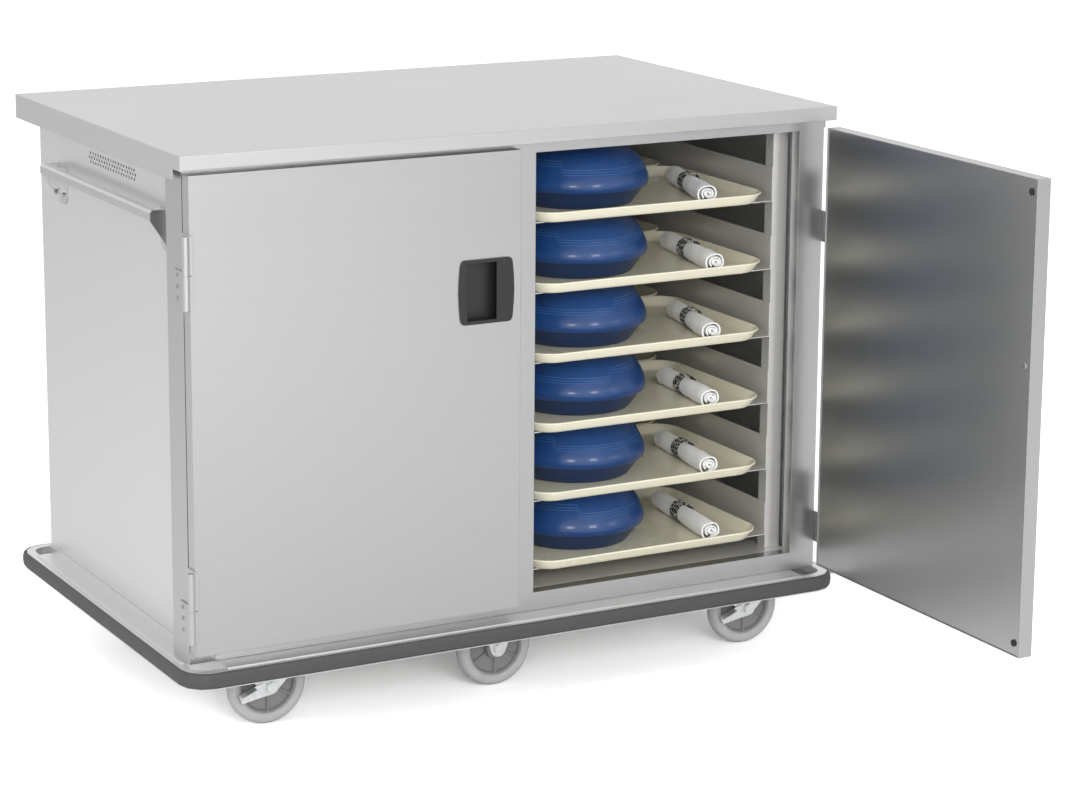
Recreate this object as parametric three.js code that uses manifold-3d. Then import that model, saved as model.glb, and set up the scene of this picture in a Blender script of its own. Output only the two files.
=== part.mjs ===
// Enclosed meal tray cart: a stainless steel cabinet with two lift-off doors, two bays of tray
// slides, a loaded right bay, push handles, a wrap-round bumper and six casters.
// Millimetres, +Z up, doors facing -Y. Everything is built about the middle of the worktop on the
// floor, and the last group moves the origin to the middle of the footprint with the door open.
import * as THREE from 'three';
import { mergeVertices } from 'three/addons/utils/BufferGeometryUtils.js';
import Module from 'manifold-3d';

const wasm = await Module();
wasm.setup();

// ---------------------------------------------------------------- driving dimensions

// Fits
const SEAT = 0.3; // clearance between pieces that rest on or beside each other
const WELD = 0.5; // depth to which welded sheets run into each other

// Worktop; its length, depth and height follow from the trays, further down
const TOP_SHEET = 3;
const TOP_FRONT_LIP = 26.5;
const TOP_SIDE_LIP = 46;
const TOP_LIP_SETBACK = 37; // where the deep side lip starts behind the front edge

// Cabinet sheet metal
const SHEET = 2;
const FRAME_SETBACK = 24; // door frame's face behind the worktop's front edge
const POST_INSET = 12; // post's outer face inside the worktop's end
const POST_WIDTH = 55;
const POST_DEPTH = 73;
const FRAME_RETURN = 26; // depth of the header, sill, mullion and the posts' inner edges
const HEADER_HEIGHT = 44;
const MULLION_WIDTH = 66;
const PANEL_INSET = 36.5; // side panel's outer face inside the worktop's end
const PANEL_RETURN = 20;
const BACK_SETBACK = 32; // side panels' rear edge inside the worktop's back edge
const FLOOR_RISE = 35.3; // top of the cabinet floor above the deck

// Air vent, punched in each side panel
const VENT_DROP = 81; // middle row below the worktop
const VENT_PITCH = 13;
const VENT_ROW_PITCH = 8.3;
const VENT_HOLE_RADIUS = 3.6;
const VENT_HOLES = 19; // in the middle row, one fewer in the rows above and below

// Tray racks
const TRAY_LEVELS = 6;
const TRAY_PITCH = 133.35;
const LEDGE_RISE = 28.45; // top of the lowest ledge above the cabinet floor
const LEDGE_BEARING = 6; // how far a ledge reaches under a tray's floor
const HEADROOM = 140; // top ledge to the door frame's header
const SLIDE_HEIGHT = 65; // slide's upright leg above its ledge
const UPRIGHT_WIDTH = 33;
const UPRIGHT_DEPTH = 27;
const UPRIGHT_SETBACK = 51; // front uprights behind the door frame's face
const PARTITION_SHEET = 3;
const CENTRE_RACK_WIDTH = 44; // between the two faces that the slides turn to the bays
const RACK_TO_PANEL = 55.5; // side slides to the side panel

// Trays, domes and napkin rolls
const TRAY_LENGTH = 508;
const TRAY_WIDTH = 381;
const TRAY_HEIGHT = 22.2;
const TRAY_WALL = 3;
const TRAY_CORNER = 55;
const TRAY_SLOPE = 30; // how far the sides lean in from rim to floor
const TRAY_LIP = 14; // height of the turned-down rim
const TRAY_SETBACK = 12; // front rim behind the door frame's face
const TRAY_SIDE_GAP = 24; // rim to the slides' upright legs
const ROW_GAP = 2; // between the front and the back row
const BACK_CLEARANCE = 1.7; // back row to the back panel
const DOME_RADIUS = 140;
const DOME_FOOT_RADIUS = 113;
const DOME_SHOULDER_RADIUS = 115;
const DOME_HEIGHT = 118;
const DOME_WIDEST = 27; // height of the joint between base and cover
const DOME_LEFT = 66; // its middle left of the tray's middle
const DOME_BACK = 8.5; // and behind it
const NAPKIN_LENGTH = 250;
const NAPKIN_RADIUS = 16;
const NAPKIN_RIGHT = 174; // its middle right of the tray's middle
const NAPKIN_FORWARD = 21; // and in front of it
// How each roll lies, top tray first: a little aside, a little forward, rear end turned right.
const NAPKIN_LIES = [
  { aside: 2, forward: -5, turn: 15 },
  { aside: 6, forward: -3, turn: 9 },
  { aside: 4, forward: 4, turn: 12 },
  { aside: -8, forward: 0, turn: 6 },
  { aside: -6, forward: 0, turn: 7 },
  { aside: 0, forward: 2, turn: 7 },
];

// Doors
const DOOR_MEETING_GAP = 27.4; // between the two doors' free edges
const DOOR_TOP_DROP = 34; // below the worktop
const DOOR_CLEARANCE = 22.5; // above the deck
const DOOR_DEPTH = 28.5;
const DOOR_GAP = 2.1; // door's inner face to the frame
const DOOR_LIP = 14; // inner return that carries the liner
const LINER_INSET = 1.5;
const LINER_SHEET = 1.5;
const DOOR_OPEN_ANGLE = 90; // right door as it stands
const STOP_STUD_RADIUS = 5;
const STOP_STUD_LENGTH = 8;
const STOP_STUD_INSET = 37; // from the door's hinge edge

// Recessed pulls
const PULL_WIDTH = 112;
const PULL_HEIGHT = 119;
const PULL_EDGE = 15; // from the door's free edge
const PULL_DROP = 253.5; // its centre below the door's top
const PULL_BULGE = 12; // how far its sides bow out
const PULL_FLANGE = 3;
const PULL_WINDOW_WIDTH = 60;
const PULL_WINDOW_HEIGHT = 106;
const PULL_WINDOW_INSET = 16; // window to the pull's edge that is farther from the free edge
const PULL_POCKET_WIDTH = 81;
const PULL_POCKET_DEPTH = 21;
const PULL_WALL = 2;

// Lift-off hinges
const HINGE_OUT = 13; // axis outside the door's hinge edge
const HINGE_FORWARD = 14.5; // axis in front of the door's face
const BARREL_RADIUS = 7;
const PIN_RADIUS = 3.5;
const PIN_LENGTH = 50;
const HINGE_LEAF = 3.2;
const FRAME_KNUCKLE = 62;
const DOOR_KNUCKLE = 69;
const LOWER_HINGE_RISE = 91; // where its knuckles meet, above the door's bottom
const UPPER_HINGE_DROP = 170; // where its knuckles meet, below the door's top
const HINGE_SCREW_PITCH = 20.5;
const HINGE_SCREW_RADIUS = 4;

// Push handles
const HANDLE_LENGTH = 563;
const HANDLE_REACH = 39; // outer face to the side panel
const HANDLE_BELOW_TOP = 116;
const HANDLE_BAR_WIDTH = 14;
const HANDLE_LIP = 18;
const HANDLE_DROP = 77; // height of its end gussets
const HANDLE_FOOT = 43; // length of the flange bolted to the panel
const HANDLE_BOLT_RADIUS = 5.5;

// Chassis and bumper
const BUMPER_END = 15; // beyond the worktop's ends
const BUMPER_FRONT = 38; // beyond the worktop's front and back
const BUMPER_CORNER = 54;
const BUMPER_THICKNESS = 7;
const BUMPER_HEIGHT = 28.2;
const RAIL_WIDTH = 25; // rail's top flange, from the bumper's outer face
const RAIL_SHEET = 2;
const DECK_DROP = 15.5; // deck's top below the casters' top plates
const DECK_SHEET = 2.5;
const DECK_SETBACK = 18; // deck's edge from the bumper's outer face
const CORNER_OPENING = 81; // corner openings, in from the bumper's outer face
const SILL_UPSTAND = 15;
const RUNNER_WIDTH = 20;
const RUNNER_INSET = 74; // runners' inner faces inside the worktop's front and back
const CROSS_WIDTH = 120;

// Casters
const WHEEL_RADIUS = 76.2;
const WHEEL_WIDTH = 32;
const HUB_RADIUS = 16;
const HUB_WIDTH = 38;
const AXLE_RADIUS = 6;
const WHEEL_CLEARANCE = 4.6; // wheel to the fork's crown
const CASTER_END = 157; // king pins inside the worktop's ends
const CASTER_SIDE = 124; // and inside its front and back
const CASTER_LEAD = 44; // wheel centre behind the king pin
const FORK_SHEET = 3.5;
const FORK_CROWN = 6;
const FORK_HALF_WIDTH = 48;
const RACE_RADIUS = 36;
const KING_PIN_RADIUS = 8;
const RACE_DEPTH = 14.7; // fork's crown to the top plate
const KING_PIN_LENGTH = 9;
const PLATE_LENGTH = 110;
const PLATE_WIDTH = 94;
const PLATE_SHEET = 6;
const BRAKE_SHEET = 3;

// Facets of the round forms
const WHEEL_FACETS = 16;
const DOME_FACETS = 16;
const RACE_FACETS = 10;
const VENT_FACETS = 5;
const BOLT_FACETS = 6;
const SMALL_FACETS = 8;
const RIM_STEPS = 3;
const TRAY_STEPS = 2;

// ---------------------------------------------------------------- places worked out from them

// Up from the casters
const AXLE_Z = WHEEL_RADIUS;
const FORK_CROWN_TOP = WHEEL_RADIUS * 2 + WHEEL_CLEARANCE + FORK_CROWN;
const CASTER_HEIGHT = FORK_CROWN_TOP + RACE_DEPTH + PLATE_SHEET + SEAT;
const DECK_TOP = CASTER_HEIGHT - DECK_DROP;
const BUMPER_TOP = DECK_TOP - RAIL_SHEET;
const BUMPER_BOTTOM = BUMPER_TOP - BUMPER_HEIGHT;
const FLOOR_HEIGHT = DECK_TOP + FLOOR_RISE;
const ledgeHeight = (level) => FLOOR_HEIGHT + LEDGE_RISE + (TRAY_LEVELS - level) * TRAY_PITCH;
const HEADER_BOTTOM = ledgeHeight(1) + HEADROOM;
const BODY_TOP = HEADER_BOTTOM + HEADER_HEIGHT;
const TOP_HEIGHT = BODY_TOP + TOP_SHEET;
const CEILING = HEADER_BOTTOM + SHEET;
const FOOT_Z = DECK_TOP + SEAT;

// Out from the centre partition
const BAY_IN = CENTRE_RACK_WIDTH / 2;
const TRAY_IN = BAY_IN + TRAY_SIDE_GAP;
const TRAY_OUT = TRAY_IN + TRAY_LENGTH;
const BAY_OUT = TRAY_OUT + TRAY_SIDE_GAP;
const LEDGE_WIDTH = TRAY_SIDE_GAP + TRAY_SLOPE + LEDGE_BEARING;
const PANEL_IN = BAY_OUT + RACK_TO_PANEL;
const PANEL_OUT = PANEL_IN + SHEET;
const END_X = PANEL_OUT + PANEL_INSET;
const TOP_LENGTH = END_X * 2;
const POST_OUT = END_X - POST_INSET;
const POST_IN = POST_OUT - POST_WIDTH;
const FLOOR_HALF = PANEL_OUT - PANEL_RETURN - SEAT;

// Front to back
const BACK_WALLS = SHEET + SEAT + SHEET;
const BODY_DEPTH = TRAY_SETBACK + TRAY_WIDTH * 2 + ROW_GAP + BACK_CLEARANCE + BACK_WALLS;
const TOP_DEPTH = FRAME_SETBACK + BODY_DEPTH + BACK_SETBACK;
const FRONT_Y = -TOP_DEPTH / 2;
const FRAME_Y = FRONT_Y + FRAME_SETBACK;
const FRAME_BACK_Y = FRAME_Y + FRAME_RETURN;
const POST_BACK_Y = FRAME_Y + POST_DEPTH;
const PANEL_BACK_Y = TOP_DEPTH / 2 - BACK_SETBACK;
const BACK_PANEL_Y = PANEL_BACK_Y - SHEET - SEAT;
const INNER_BACK_Y = BACK_PANEL_Y - SHEET;
const RACK_FRONT_Y = FRAME_Y + UPRIGHT_SETBACK;
const RACK_BACK_Y = INNER_BACK_Y - 5;
const TRAY_FRONT_Y = FRAME_Y + TRAY_SETBACK;

// Doors and hinges
const DOOR_BOTTOM = DECK_TOP + DOOR_CLEARANCE;
const DOOR_TOP = TOP_HEIGHT - DOOR_TOP_DROP;
const AXIS_X = POST_OUT - SEAT - 0.5 + HINGE_OUT;
const DOOR_FACE_Y = FRAME_Y - DOOR_GAP - DOOR_DEPTH;
const AXIS_Y = DOOR_FACE_Y - HINGE_FORWARD;
const DOOR_NEAR = HINGE_OUT;
const DOOR_FAR = AXIS_X - DOOR_MEETING_GAP / 2;
const DOOR_OUTER = HINGE_FORWARD;
const DOOR_INNER = HINGE_FORWARD + DOOR_DEPTH;
const PULL_CENTRE = DOOR_TOP - PULL_DROP;
const HINGE_SPLITS = {
  lower: DOOR_BOTTOM + LOWER_HINGE_RISE,
  upper: DOOR_TOP - UPPER_HINGE_DROP,
};

// Outside and underneath
const VENT_HEIGHT = TOP_HEIGHT - VENT_DROP;
const HANDLE_TOP = TOP_HEIGHT - HANDLE_BELOW_TOP;
const BUMPER_LENGTH = TOP_LENGTH + BUMPER_END * 2;
const BUMPER_DEPTH = TOP_DEPTH + BUMPER_FRONT * 2;
const CORNER_NOTCH_X = BUMPER_LENGTH / 2 - CORNER_OPENING;
const CORNER_NOTCH_Y = BUMPER_DEPTH / 2 - CORNER_OPENING;
const RUNNER_OFFSET = TOP_DEPTH / 2 - RUNNER_INSET;
const CASTER_X = END_X - CASTER_END;
const CASTER_Y = TOP_DEPTH / 2 - CASTER_SIDE;
const FORK_GAP = HUB_WIDTH / 2 + 1.5;
const LEG_OUT = FORK_GAP + FORK_SHEET;
const HEAD_GAP = BRAKE_SHEET + 2 * SEAT;

const FOOTPRINT_BACK = BUMPER_DEPTH / 2;
const FOOTPRINT_FRONT = AXIS_Y - DOOR_FAR;
const ORIGIN_Y = (FOOTPRINT_FRONT + FOOTPRINT_BACK) / 2;

// ---------------------------------------------------------------- shape helpers

const GRID = 1024; // steps in a millimetre

/** Turns a surface right side out, judged by its signed volume. */
function faceOut(geometry) {
  const place = geometry.getAttribute('position');
  const index = geometry.getIndex();
  const corners = [new THREE.Vector3(), new THREE.Vector3(), new THREE.Vector3()];
  let volume = 0;
  for (let i = 0; i < index.count; i += 3) {
    corners.forEach((corner, k) => corner.fromBufferAttribute(place, index.getX(i + k)));
    volume += corners[0].dot(corners[1].cross(corners[2]));
  }
  if (volume < 0) {
    for (let i = 0; i < index.count; i += 3) {
      const first = index.getX(i);
      index.setX(i, index.getX(i + 1));
      index.setX(i + 1, first);
    }
  }
  return geometry;
}

/**
 * Keeps only the corners and merges the shared ones, so that the surface closes. They snap to a
 * grid far finer than any gap, so that faces meant to lie in one plane do.
 */
function weld(geometry) {
  const bare = new THREE.BufferGeometry();
  const place = geometry.getAttribute('position').clone();
  place.array.forEach((value, i) => {
    place.array[i] = Math.round(value * GRID) / GRID;
  });
  bare.setAttribute('position', place);
  if (geometry.getIndex()) bare.setIndex(geometry.getIndex().clone());
  return faceOut(mergeVertices(bare, 1e-4));
}

function toManifold(geometry) {
  const bare = weld(geometry);
  const vertProperties = new Float32Array(bare.getAttribute('position').array);
  const triVerts = new Uint32Array(bare.getIndex().array);
  return new wasm.Manifold(new wasm.Mesh({ numProp: 3, vertProperties, triVerts }));
}

function fromManifold(body) {
  const mesh = body.getMesh();
  const geometry = new THREE.BufferGeometry();
  geometry.setAttribute('position', new THREE.BufferAttribute(mesh.vertProperties, 3));
  geometry.setIndex(new THREE.BufferAttribute(mesh.triVerts, 1));
  return geometry;
}

function join(...pieces) {
  return fromManifold(pieces.map(toManifold).reduce((whole, piece) => whole.add(piece)));
}

function cut(base, ...tools) {
  return fromManifold(tools.map(toManifold).reduce((rest, tool) => rest.subtract(tool), toManifold(base)));
}

function box(x0, x1, y0, y1, z0, z1) {
  const shape = new THREE.BoxGeometry(Math.abs(x1 - x0), Math.abs(y1 - y0), Math.abs(z1 - z0));
  return shape.translate((x0 + x1) / 2, (y0 + y1) / 2, (z0 + z1) / 2);
}

/** Extrudes a section drawn in X and Y upwards from z0 to z1. */
function alongZ(section, z0, z1, curveSegments = 4) {
  const depth = z1 - z0;
  const solid = new THREE.ExtrudeGeometry(section, { depth, bevelEnabled: false, curveSegments });
  return solid.translate(0, 0, z0);
}

/** Extrudes a section drawn in Y and Z from x0 to x1. */
function alongX(section, x0, x1, curveSegments = 4) {
  const basis = new THREE.Matrix4().set(0, 0, 1, x0, 1, 0, 0, 0, 0, 1, 0, 0, 0, 0, 0, 1);
  return alongZ(section, 0, x1 - x0, curveSegments).applyMatrix4(basis);
}

/** Extrudes a section drawn in X and Z from y0 to y1. */
function alongY(section, y0, y1, curveSegments = 4) {
  const basis = new THREE.Matrix4().set(1, 0, 0, 0, 0, 0, -1, y1, 0, 1, 0, 0, 0, 0, 0, 1);
  return alongZ(section, 0, y1 - y0, curveSegments).applyMatrix4(basis);
}

/** Mirrors a shape left to right. */
function mirrored(geometry) {
  return faceOut(weld(geometry).applyMatrix4(new THREE.Matrix4().makeScale(-1, 1, 1)));
}

/** Mirrors a shape front to back. */
function flipped(geometry) {
  return faceOut(weld(geometry).applyMatrix4(new THREE.Matrix4().makeScale(1, -1, 1)));
}

function outline(points) {
  return new THREE.Shape(points.map(([u, v]) => new THREE.Vector2(u, v)));
}

/** Section of a bent sheet: its outer line given, its thickness to the left of that line. */
function foldedSheet(points, thickness = SHEET) {
  const line = points.map(([u, v]) => new THREE.Vector2(u, v));
  const heading = (i) => line[i + 1].clone().sub(line[i]).normalize();
  const leftOf = (d) => new THREE.Vector2(-d.y, d.x);
  const inner = line.map((point, i) => {
    const before = leftOf(heading(Math.max(i - 1, 0)));
    const after = leftOf(heading(Math.min(i, line.length - 2)));
    const mitre = before.clone().add(after).normalize();
    return point.clone().addScaledVector(mitre, thickness / mitre.dot(before));
  });
  return new THREE.Shape([...line, ...inner.reverse()]);
}

/** Corners of a rectangle with round corners, in turn, at one height. */
function roundedRing(halfX, halfY, radius, steps, z) {
  const ring = [];
  for (let corner = 0; corner < 4; corner += 1) {
    const cx = (corner === 0 || corner === 3 ? 1 : -1) * (halfX - radius);
    const cy = (corner < 2 ? 1 : -1) * (halfY - radius);
    for (let step = 0; step <= steps; step += 1) {
      const turn = (corner + step / steps) * Math.PI / 2;
      ring.push(new THREE.Vector3(cx + radius * Math.cos(turn), cy + radius * Math.sin(turn), z));
    }
  }
  return ring;
}

/** Skins a stack of rings of like count; an endless stack closes on itself, others get end caps. */
function loft(rings, endless = false) {
  const count = rings[0].length;
  const place = rings.flat().flatMap((point) => [point.x, point.y, point.z]);
  const index = [];
  const last = endless ? rings.length : rings.length - 1;
  for (let i = 0; i < last; i += 1) {
    const here = i * count;
    const next = ((i + 1) % rings.length) * count;
    for (let k = 0; k < count; k += 1) {
      const right = (k + 1) % count;
      index.push(here + k, here + right, next + right, here + k, next + right, next + k);
    }
  }
  if (!endless) {
    const top = (rings.length - 1) * count;
    for (let k = 1; k < count - 1; k += 1) {
      index.push(0, k + 1, k, top, top + k, top + k + 1);
    }
  }
  const geometry = new THREE.BufferGeometry();
  geometry.setAttribute('position', new THREE.Float32BufferAttribute(place, 3));
  geometry.setIndex(index);
  return faceOut(geometry);
}

/** A flat ring with round corners between two offsets inside the bumper's outer line. */
function rimBand(outerOffset, innerOffset, z0, z1) {
  const at = (offset) => roundedRing(
    BUMPER_LENGTH / 2 - offset,
    BUMPER_DEPTH / 2 - offset,
    BUMPER_CORNER - offset,
    RIM_STEPS,
    0,
  );
  const section = new THREE.Shape(at(outerOffset).map((p) => new THREE.Vector2(p.x, p.y)));
  if (innerOffset !== null) {
    section.holes.push(new THREE.Path(at(innerOffset).map((p) => new THREE.Vector2(p.x, p.y))));
  }
  return alongZ(section, z0, z1);
}

/** Turns a profile of radius and height points about the Z axis. */
function turned(profile, facets) {
  const points = profile.map(([r, z]) => new THREE.Vector2(r, z));
  const shape = new THREE.LatheGeometry(points, facets);
  return weld(shape.rotateX(Math.PI / 2));
}

/** A rod with flat sides along Z. */
function rodZ(radius, z0, z1, facets = SMALL_FACETS) {
  return turned([[0, z0], [radius, z0], [radius, z1], [0, z1]], facets);
}

/** Radius of a faceted hole whose flats clear a rod. */
function clearing(radius, facets) {
  return (radius + SEAT) / Math.cos(Math.PI / facets);
}

/** A rod with flat sides along X, at y and z. */
function rodX(radius, x0, x1, y, z, facets = SMALL_FACETS) {
  return rodZ(radius, x0, x1, facets).rotateY(Math.PI / 2).translate(0, y, z);
}

/** A rod with flat sides along Y, at x and z. */
function rodY(radius, y0, y1, x, z, facets = SMALL_FACETS) {
  return rodZ(radius, -y1, -y0, facets).rotateX(Math.PI / 2).translate(x, 0, z);
}

// ---------------------------------------------------------------- materials

function metal(colour, roughness, metalness = 1) {
  return new THREE.MeshStandardMaterial({ color: colour, roughness, metalness });
}
const brushedSteel = metal(0xc6c7c8, 0.38);
const innerSteel = metal(0x8d8c86, 0.3);
const hingeSteel = metal(0xb9babb, 0.28);
const casterZinc = metal(0xcfd1d3, 0.35);
const wheelGrey = metal(0x9b9c9d, 0.6, 0);
const bumperGrey = metal(0x4a4a4b, 0.65, 0);
const pullBlack = metal(0x1d1d1e, 0.45, 0);
const trayIvory = metal(0xe6e2cf, 0.5, 0);
const domeBlue = metal(0x1c4078, 0.3, 0);
const napkinWhite = metal(0xf0f0ef, 0.9, 0);

const cart = new THREE.Group();

/** Names a piece and hangs it in its group. */
function add(name, geometry, material, group = cart) {
  const shape = weld(geometry);
  const faceted = shape.clone();
  faceted.computeVertexNormals();
  const mesh = new THREE.Mesh(faceted, material);
  mesh.name = name;
  group.add(mesh);
  return mesh;
}

// ---------------------------------------------------------------- worktop

function counterTop() {
  const halfX = TOP_LENGTH / 2;
  const halfY = TOP_DEPTH / 2;
  const low = TOP_HEIGHT - TOP_SIDE_LIP;
  const step = TOP_HEIGHT - TOP_FRONT_LIP;
  const slab = box(-halfX, halfX, -halfY, halfY, low, TOP_HEIGHT);
  const inside = box(
    -halfX + TOP_SHEET,
    halfX - TOP_SHEET,
    -halfY + TOP_SHEET,
    halfY - TOP_SHEET,
    low - 1,
    TOP_HEIGHT - TOP_SHEET,
  );
  const notch = box(-halfX - 1, halfX + 1, -halfY - 1, -halfY + TOP_LIP_SETBACK, low - 1, step);
  return cut(slab, inside, notch);
}

// ---------------------------------------------------------------- cabinet body

/** Right side panel: a sheet with returns at both ends and the punched vent under the worktop. */
function sidePanel() {
  const front = POST_BACK_Y + SEAT;
  const section = foldedSheet([
    [PANEL_OUT - PANEL_RETURN, front],
    [PANEL_OUT, front],
    [PANEL_OUT, PANEL_BACK_Y],
    [PANEL_OUT - PANEL_RETURN, PANEL_BACK_Y],
  ]);
  const skin = alongZ(section, FOOT_Z, BODY_TOP - SEAT);
  const holes = [];
  for (let row = -1; row <= 1; row += 1) {
    const count = row === 0 ? VENT_HOLES : VENT_HOLES - 1;
    for (let i = 0; i < count; i += 1) {
      const y = (i - (count - 1) / 2) * VENT_PITCH;
      const z = VENT_HEIGHT + row * VENT_ROW_PITCH;
      holes.push(rodX(VENT_HOLE_RADIUS, PANEL_IN - 1, PANEL_OUT + 1, y, z, VENT_FACETS));
    }
  }
  return cut(skin, ...holes);
}

function backPanel() {
  const half = PANEL_IN - SEAT;
  return box(-half, half, INNER_BACK_Y, BACK_PANEL_Y, FOOT_Z, BODY_TOP - SEAT);
}

/** Ceiling sheet, with a tongue that rests on the header's lower edge. */
function ceilingPanel() {
  const front = FRAME_Y + SHEET + SEAT;
  const back = INNER_BACK_Y - SEAT;
  const neck = POST_IN - SEAT;
  const shoulder = FRAME_BACK_Y + SEAT;
  const sheet = outline([
    [-neck, front],
    [neck, front],
    [neck, shoulder],
    [FLOOR_HALF, shoulder],
    [FLOOR_HALF, back],
    [-FLOOR_HALF, back],
    [-FLOOR_HALF, shoulder],
    [-neck, shoulder],
  ]);
  return alongZ(sheet, CEILING + SEAT, CEILING + SEAT + SHEET);
}

/** Floor sheet, turned down at front and back to stand on the deck. */
function floorPan() {
  const front = FRAME_BACK_Y + SEAT;
  const back = INNER_BACK_Y - SEAT;
  const section = foldedSheet([
    [back, FOOT_Z],
    [back, FLOOR_HEIGHT],
    [front, FLOOR_HEIGHT],
    [front, FOOT_Z],
  ]);
  return alongX(section, -FLOOR_HALF, FLOOR_HALF);
}

/** Welded door frame: two posts, header, sill and the mullion between the bays. */
function frontFrame() {
  const post = alongZ(
    foldedSheet([
      [POST_IN, FRAME_BACK_Y],
      [POST_IN, FRAME_Y],
      [POST_OUT, FRAME_Y],
      [POST_OUT, POST_BACK_Y],
      [PANEL_IN, POST_BACK_Y],
    ]),
    FOOT_Z,
    BODY_TOP - SEAT,
  );
  const rail = (bottom, top) => alongX(
    foldedSheet([
      [FRAME_BACK_Y, top],
      [FRAME_Y, top],
      [FRAME_Y, bottom],
      [FRAME_BACK_Y, bottom],
    ]),
    -POST_IN - WELD,
    POST_IN + WELD,
  );
  const mullion = alongZ(
    foldedSheet([
      [-MULLION_WIDTH / 2, FRAME_BACK_Y],
      [-MULLION_WIDTH / 2, FRAME_Y],
      [MULLION_WIDTH / 2, FRAME_Y],
      [MULLION_WIDTH / 2, FRAME_BACK_Y],
    ]),
    FLOOR_HEIGHT - WELD,
    HEADER_BOTTOM + WELD,
  );
  const header = rail(HEADER_BOTTOM, BODY_TOP - SEAT);
  const sill = rail(FOOT_Z, FLOOR_HEIGHT);
  return join(post, mirrored(post), header, sill, mullion);
}

// ---------------------------------------------------------------- tray racks

/** Ledges of one rack side: angles that face the bay at `face`, growing towards `inward`. */
function slides(face, inward) {
  const back = face - inward * SHEET;
  const angles = [];
  for (let level = 1; level <= TRAY_LEVELS; level += 1) {
    const top = ledgeHeight(level);
    const section = outline([
      [back, top - SHEET],
      [face + inward * (LEDGE_WIDTH - SHEET), top - SHEET],
      [face + inward * (LEDGE_WIDTH - SHEET), top],
      [face, top],
      [face, top + SLIDE_HEIGHT],
      [back, top + SLIDE_HEIGHT],
    ]);
    angles.push(alongY(section, RACK_FRONT_Y, RACK_BACK_Y));
  }
  return angles;
}

/** Channel uprights at both ends of a rack, between two X positions. */
function uprights(xNear, xFar) {
  const channel = (yFace, yBack) => alongZ(
    foldedSheet(
      yFace < yBack
        ? [[xNear, yBack], [xNear, yFace], [xFar, yFace], [xFar, yBack]]
        : [[xFar, yBack], [xFar, yFace], [xNear, yFace], [xNear, yBack]],
    ),
    FLOOR_HEIGHT + SEAT,
    CEILING,
  );
  return [
    channel(RACK_FRONT_Y, RACK_FRONT_Y + UPRIGHT_DEPTH),
    channel(RACK_BACK_Y, RACK_BACK_Y - UPRIGHT_DEPTH),
  ];
}

function sideRack() {
  const inner = BAY_OUT + SHEET - WELD;
  return join(...uprights(inner, inner + UPRIGHT_WIDTH), ...slides(BAY_OUT, -1));
}

/** Centre partition with slides on both sides. */
function centreRack() {
  const half = PARTITION_SHEET / 2;
  const wall = box(-half, half, RACK_FRONT_Y, RACK_BACK_Y, FLOOR_HEIGHT + SEAT, CEILING);
  const side = join(
    ...uprights(half - WELD, BAY_IN - SHEET + WELD),
    ...slides(BAY_IN, 1),
  );
  return join(wall, side, mirrored(side));
}

// ---------------------------------------------------------------- chassis and bumper

function chassis() {
  const railTop = BUMPER_TOP;
  const railBottom = BUMPER_BOTTOM - RAIL_SHEET;
  const web = rimBand(BUMPER_THICKNESS, BUMPER_THICKNESS + RAIL_SHEET, railBottom, railTop);
  const topFlange = rimBand(BUMPER_THICKNESS, RAIL_WIDTH, railTop - RAIL_SHEET, railTop);
  const lowLip = rimBand(BUMPER_THICKNESS / 2, RAIL_WIDTH, railBottom, railBottom + RAIL_SHEET - SEAT);

  const deckBottom = DECK_TOP - DECK_SHEET;
  const sheet = rimBand(DECK_SETBACK, null, deckBottom, DECK_TOP);
  const well = box(
    -CORNER_NOTCH_X + RUNNER_WIDTH / 2,
    CORNER_NOTCH_X - RUNNER_WIDTH / 2,
    -RUNNER_OFFSET + RUNNER_WIDTH / 4,
    RUNNER_OFFSET - RUNNER_WIDTH / 4,
    deckBottom - 1,
    DECK_TOP + 1,
  );
  const notches = [];
  for (const sx of [-1, 1]) {
    for (const sy of [-1, 1]) {
      notches.push(box(
        sx * CORNER_NOTCH_X,
        sx * BUMPER_LENGTH,
        sy * CORNER_NOTCH_Y,
        sy * BUMPER_DEPTH,
        deckBottom - 1,
        DECK_TOP + 1,
      ));
    }
  }
  const deck = cut(sheet, well, ...notches);

  const carrierTop = FLOOR_HEIGHT - SHEET - SEAT;
  const sill = box(
    PANEL_OUT + SEAT,
    PANEL_OUT + SEAT + SHEET,
    POST_BACK_Y + SEAT,
    PANEL_BACK_Y,
    DECK_TOP - WELD,
    DECK_TOP + SILL_UPSTAND,
  );
  const runner = alongX(
    foldedSheet([
      [-RUNNER_OFFSET - RUNNER_WIDTH, DECK_TOP - WELD],
      [-RUNNER_OFFSET, DECK_TOP - WELD],
      [-RUNNER_OFFSET, carrierTop],
      [-RUNNER_OFFSET - RUNNER_WIDTH, carrierTop],
    ]),
    -CORNER_NOTCH_X + RUNNER_WIDTH / 2,
    CORNER_NOTCH_X - RUNNER_WIDTH / 2,
  );
  const crossMember = (x) => alongY(
    foldedSheet([
      [x - CROSS_WIDTH / 2, carrierTop],
      [x - CROSS_WIDTH / 2, CASTER_HEIGHT],
      [x + CROSS_WIDTH / 2, CASTER_HEIGHT],
      [x + CROSS_WIDTH / 2, carrierTop],
    ]),
    -RUNNER_OFFSET - WELD,
    RUNNER_OFFSET + WELD,
  );
  return join(
    web,
    topFlange,
    lowLip,
    deck,
    sill,
    mirrored(sill),
    runner,
    flipped(runner),
    crossMember(-CASTER_X),
    crossMember(0),
    crossMember(CASTER_X),
  );
}

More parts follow.
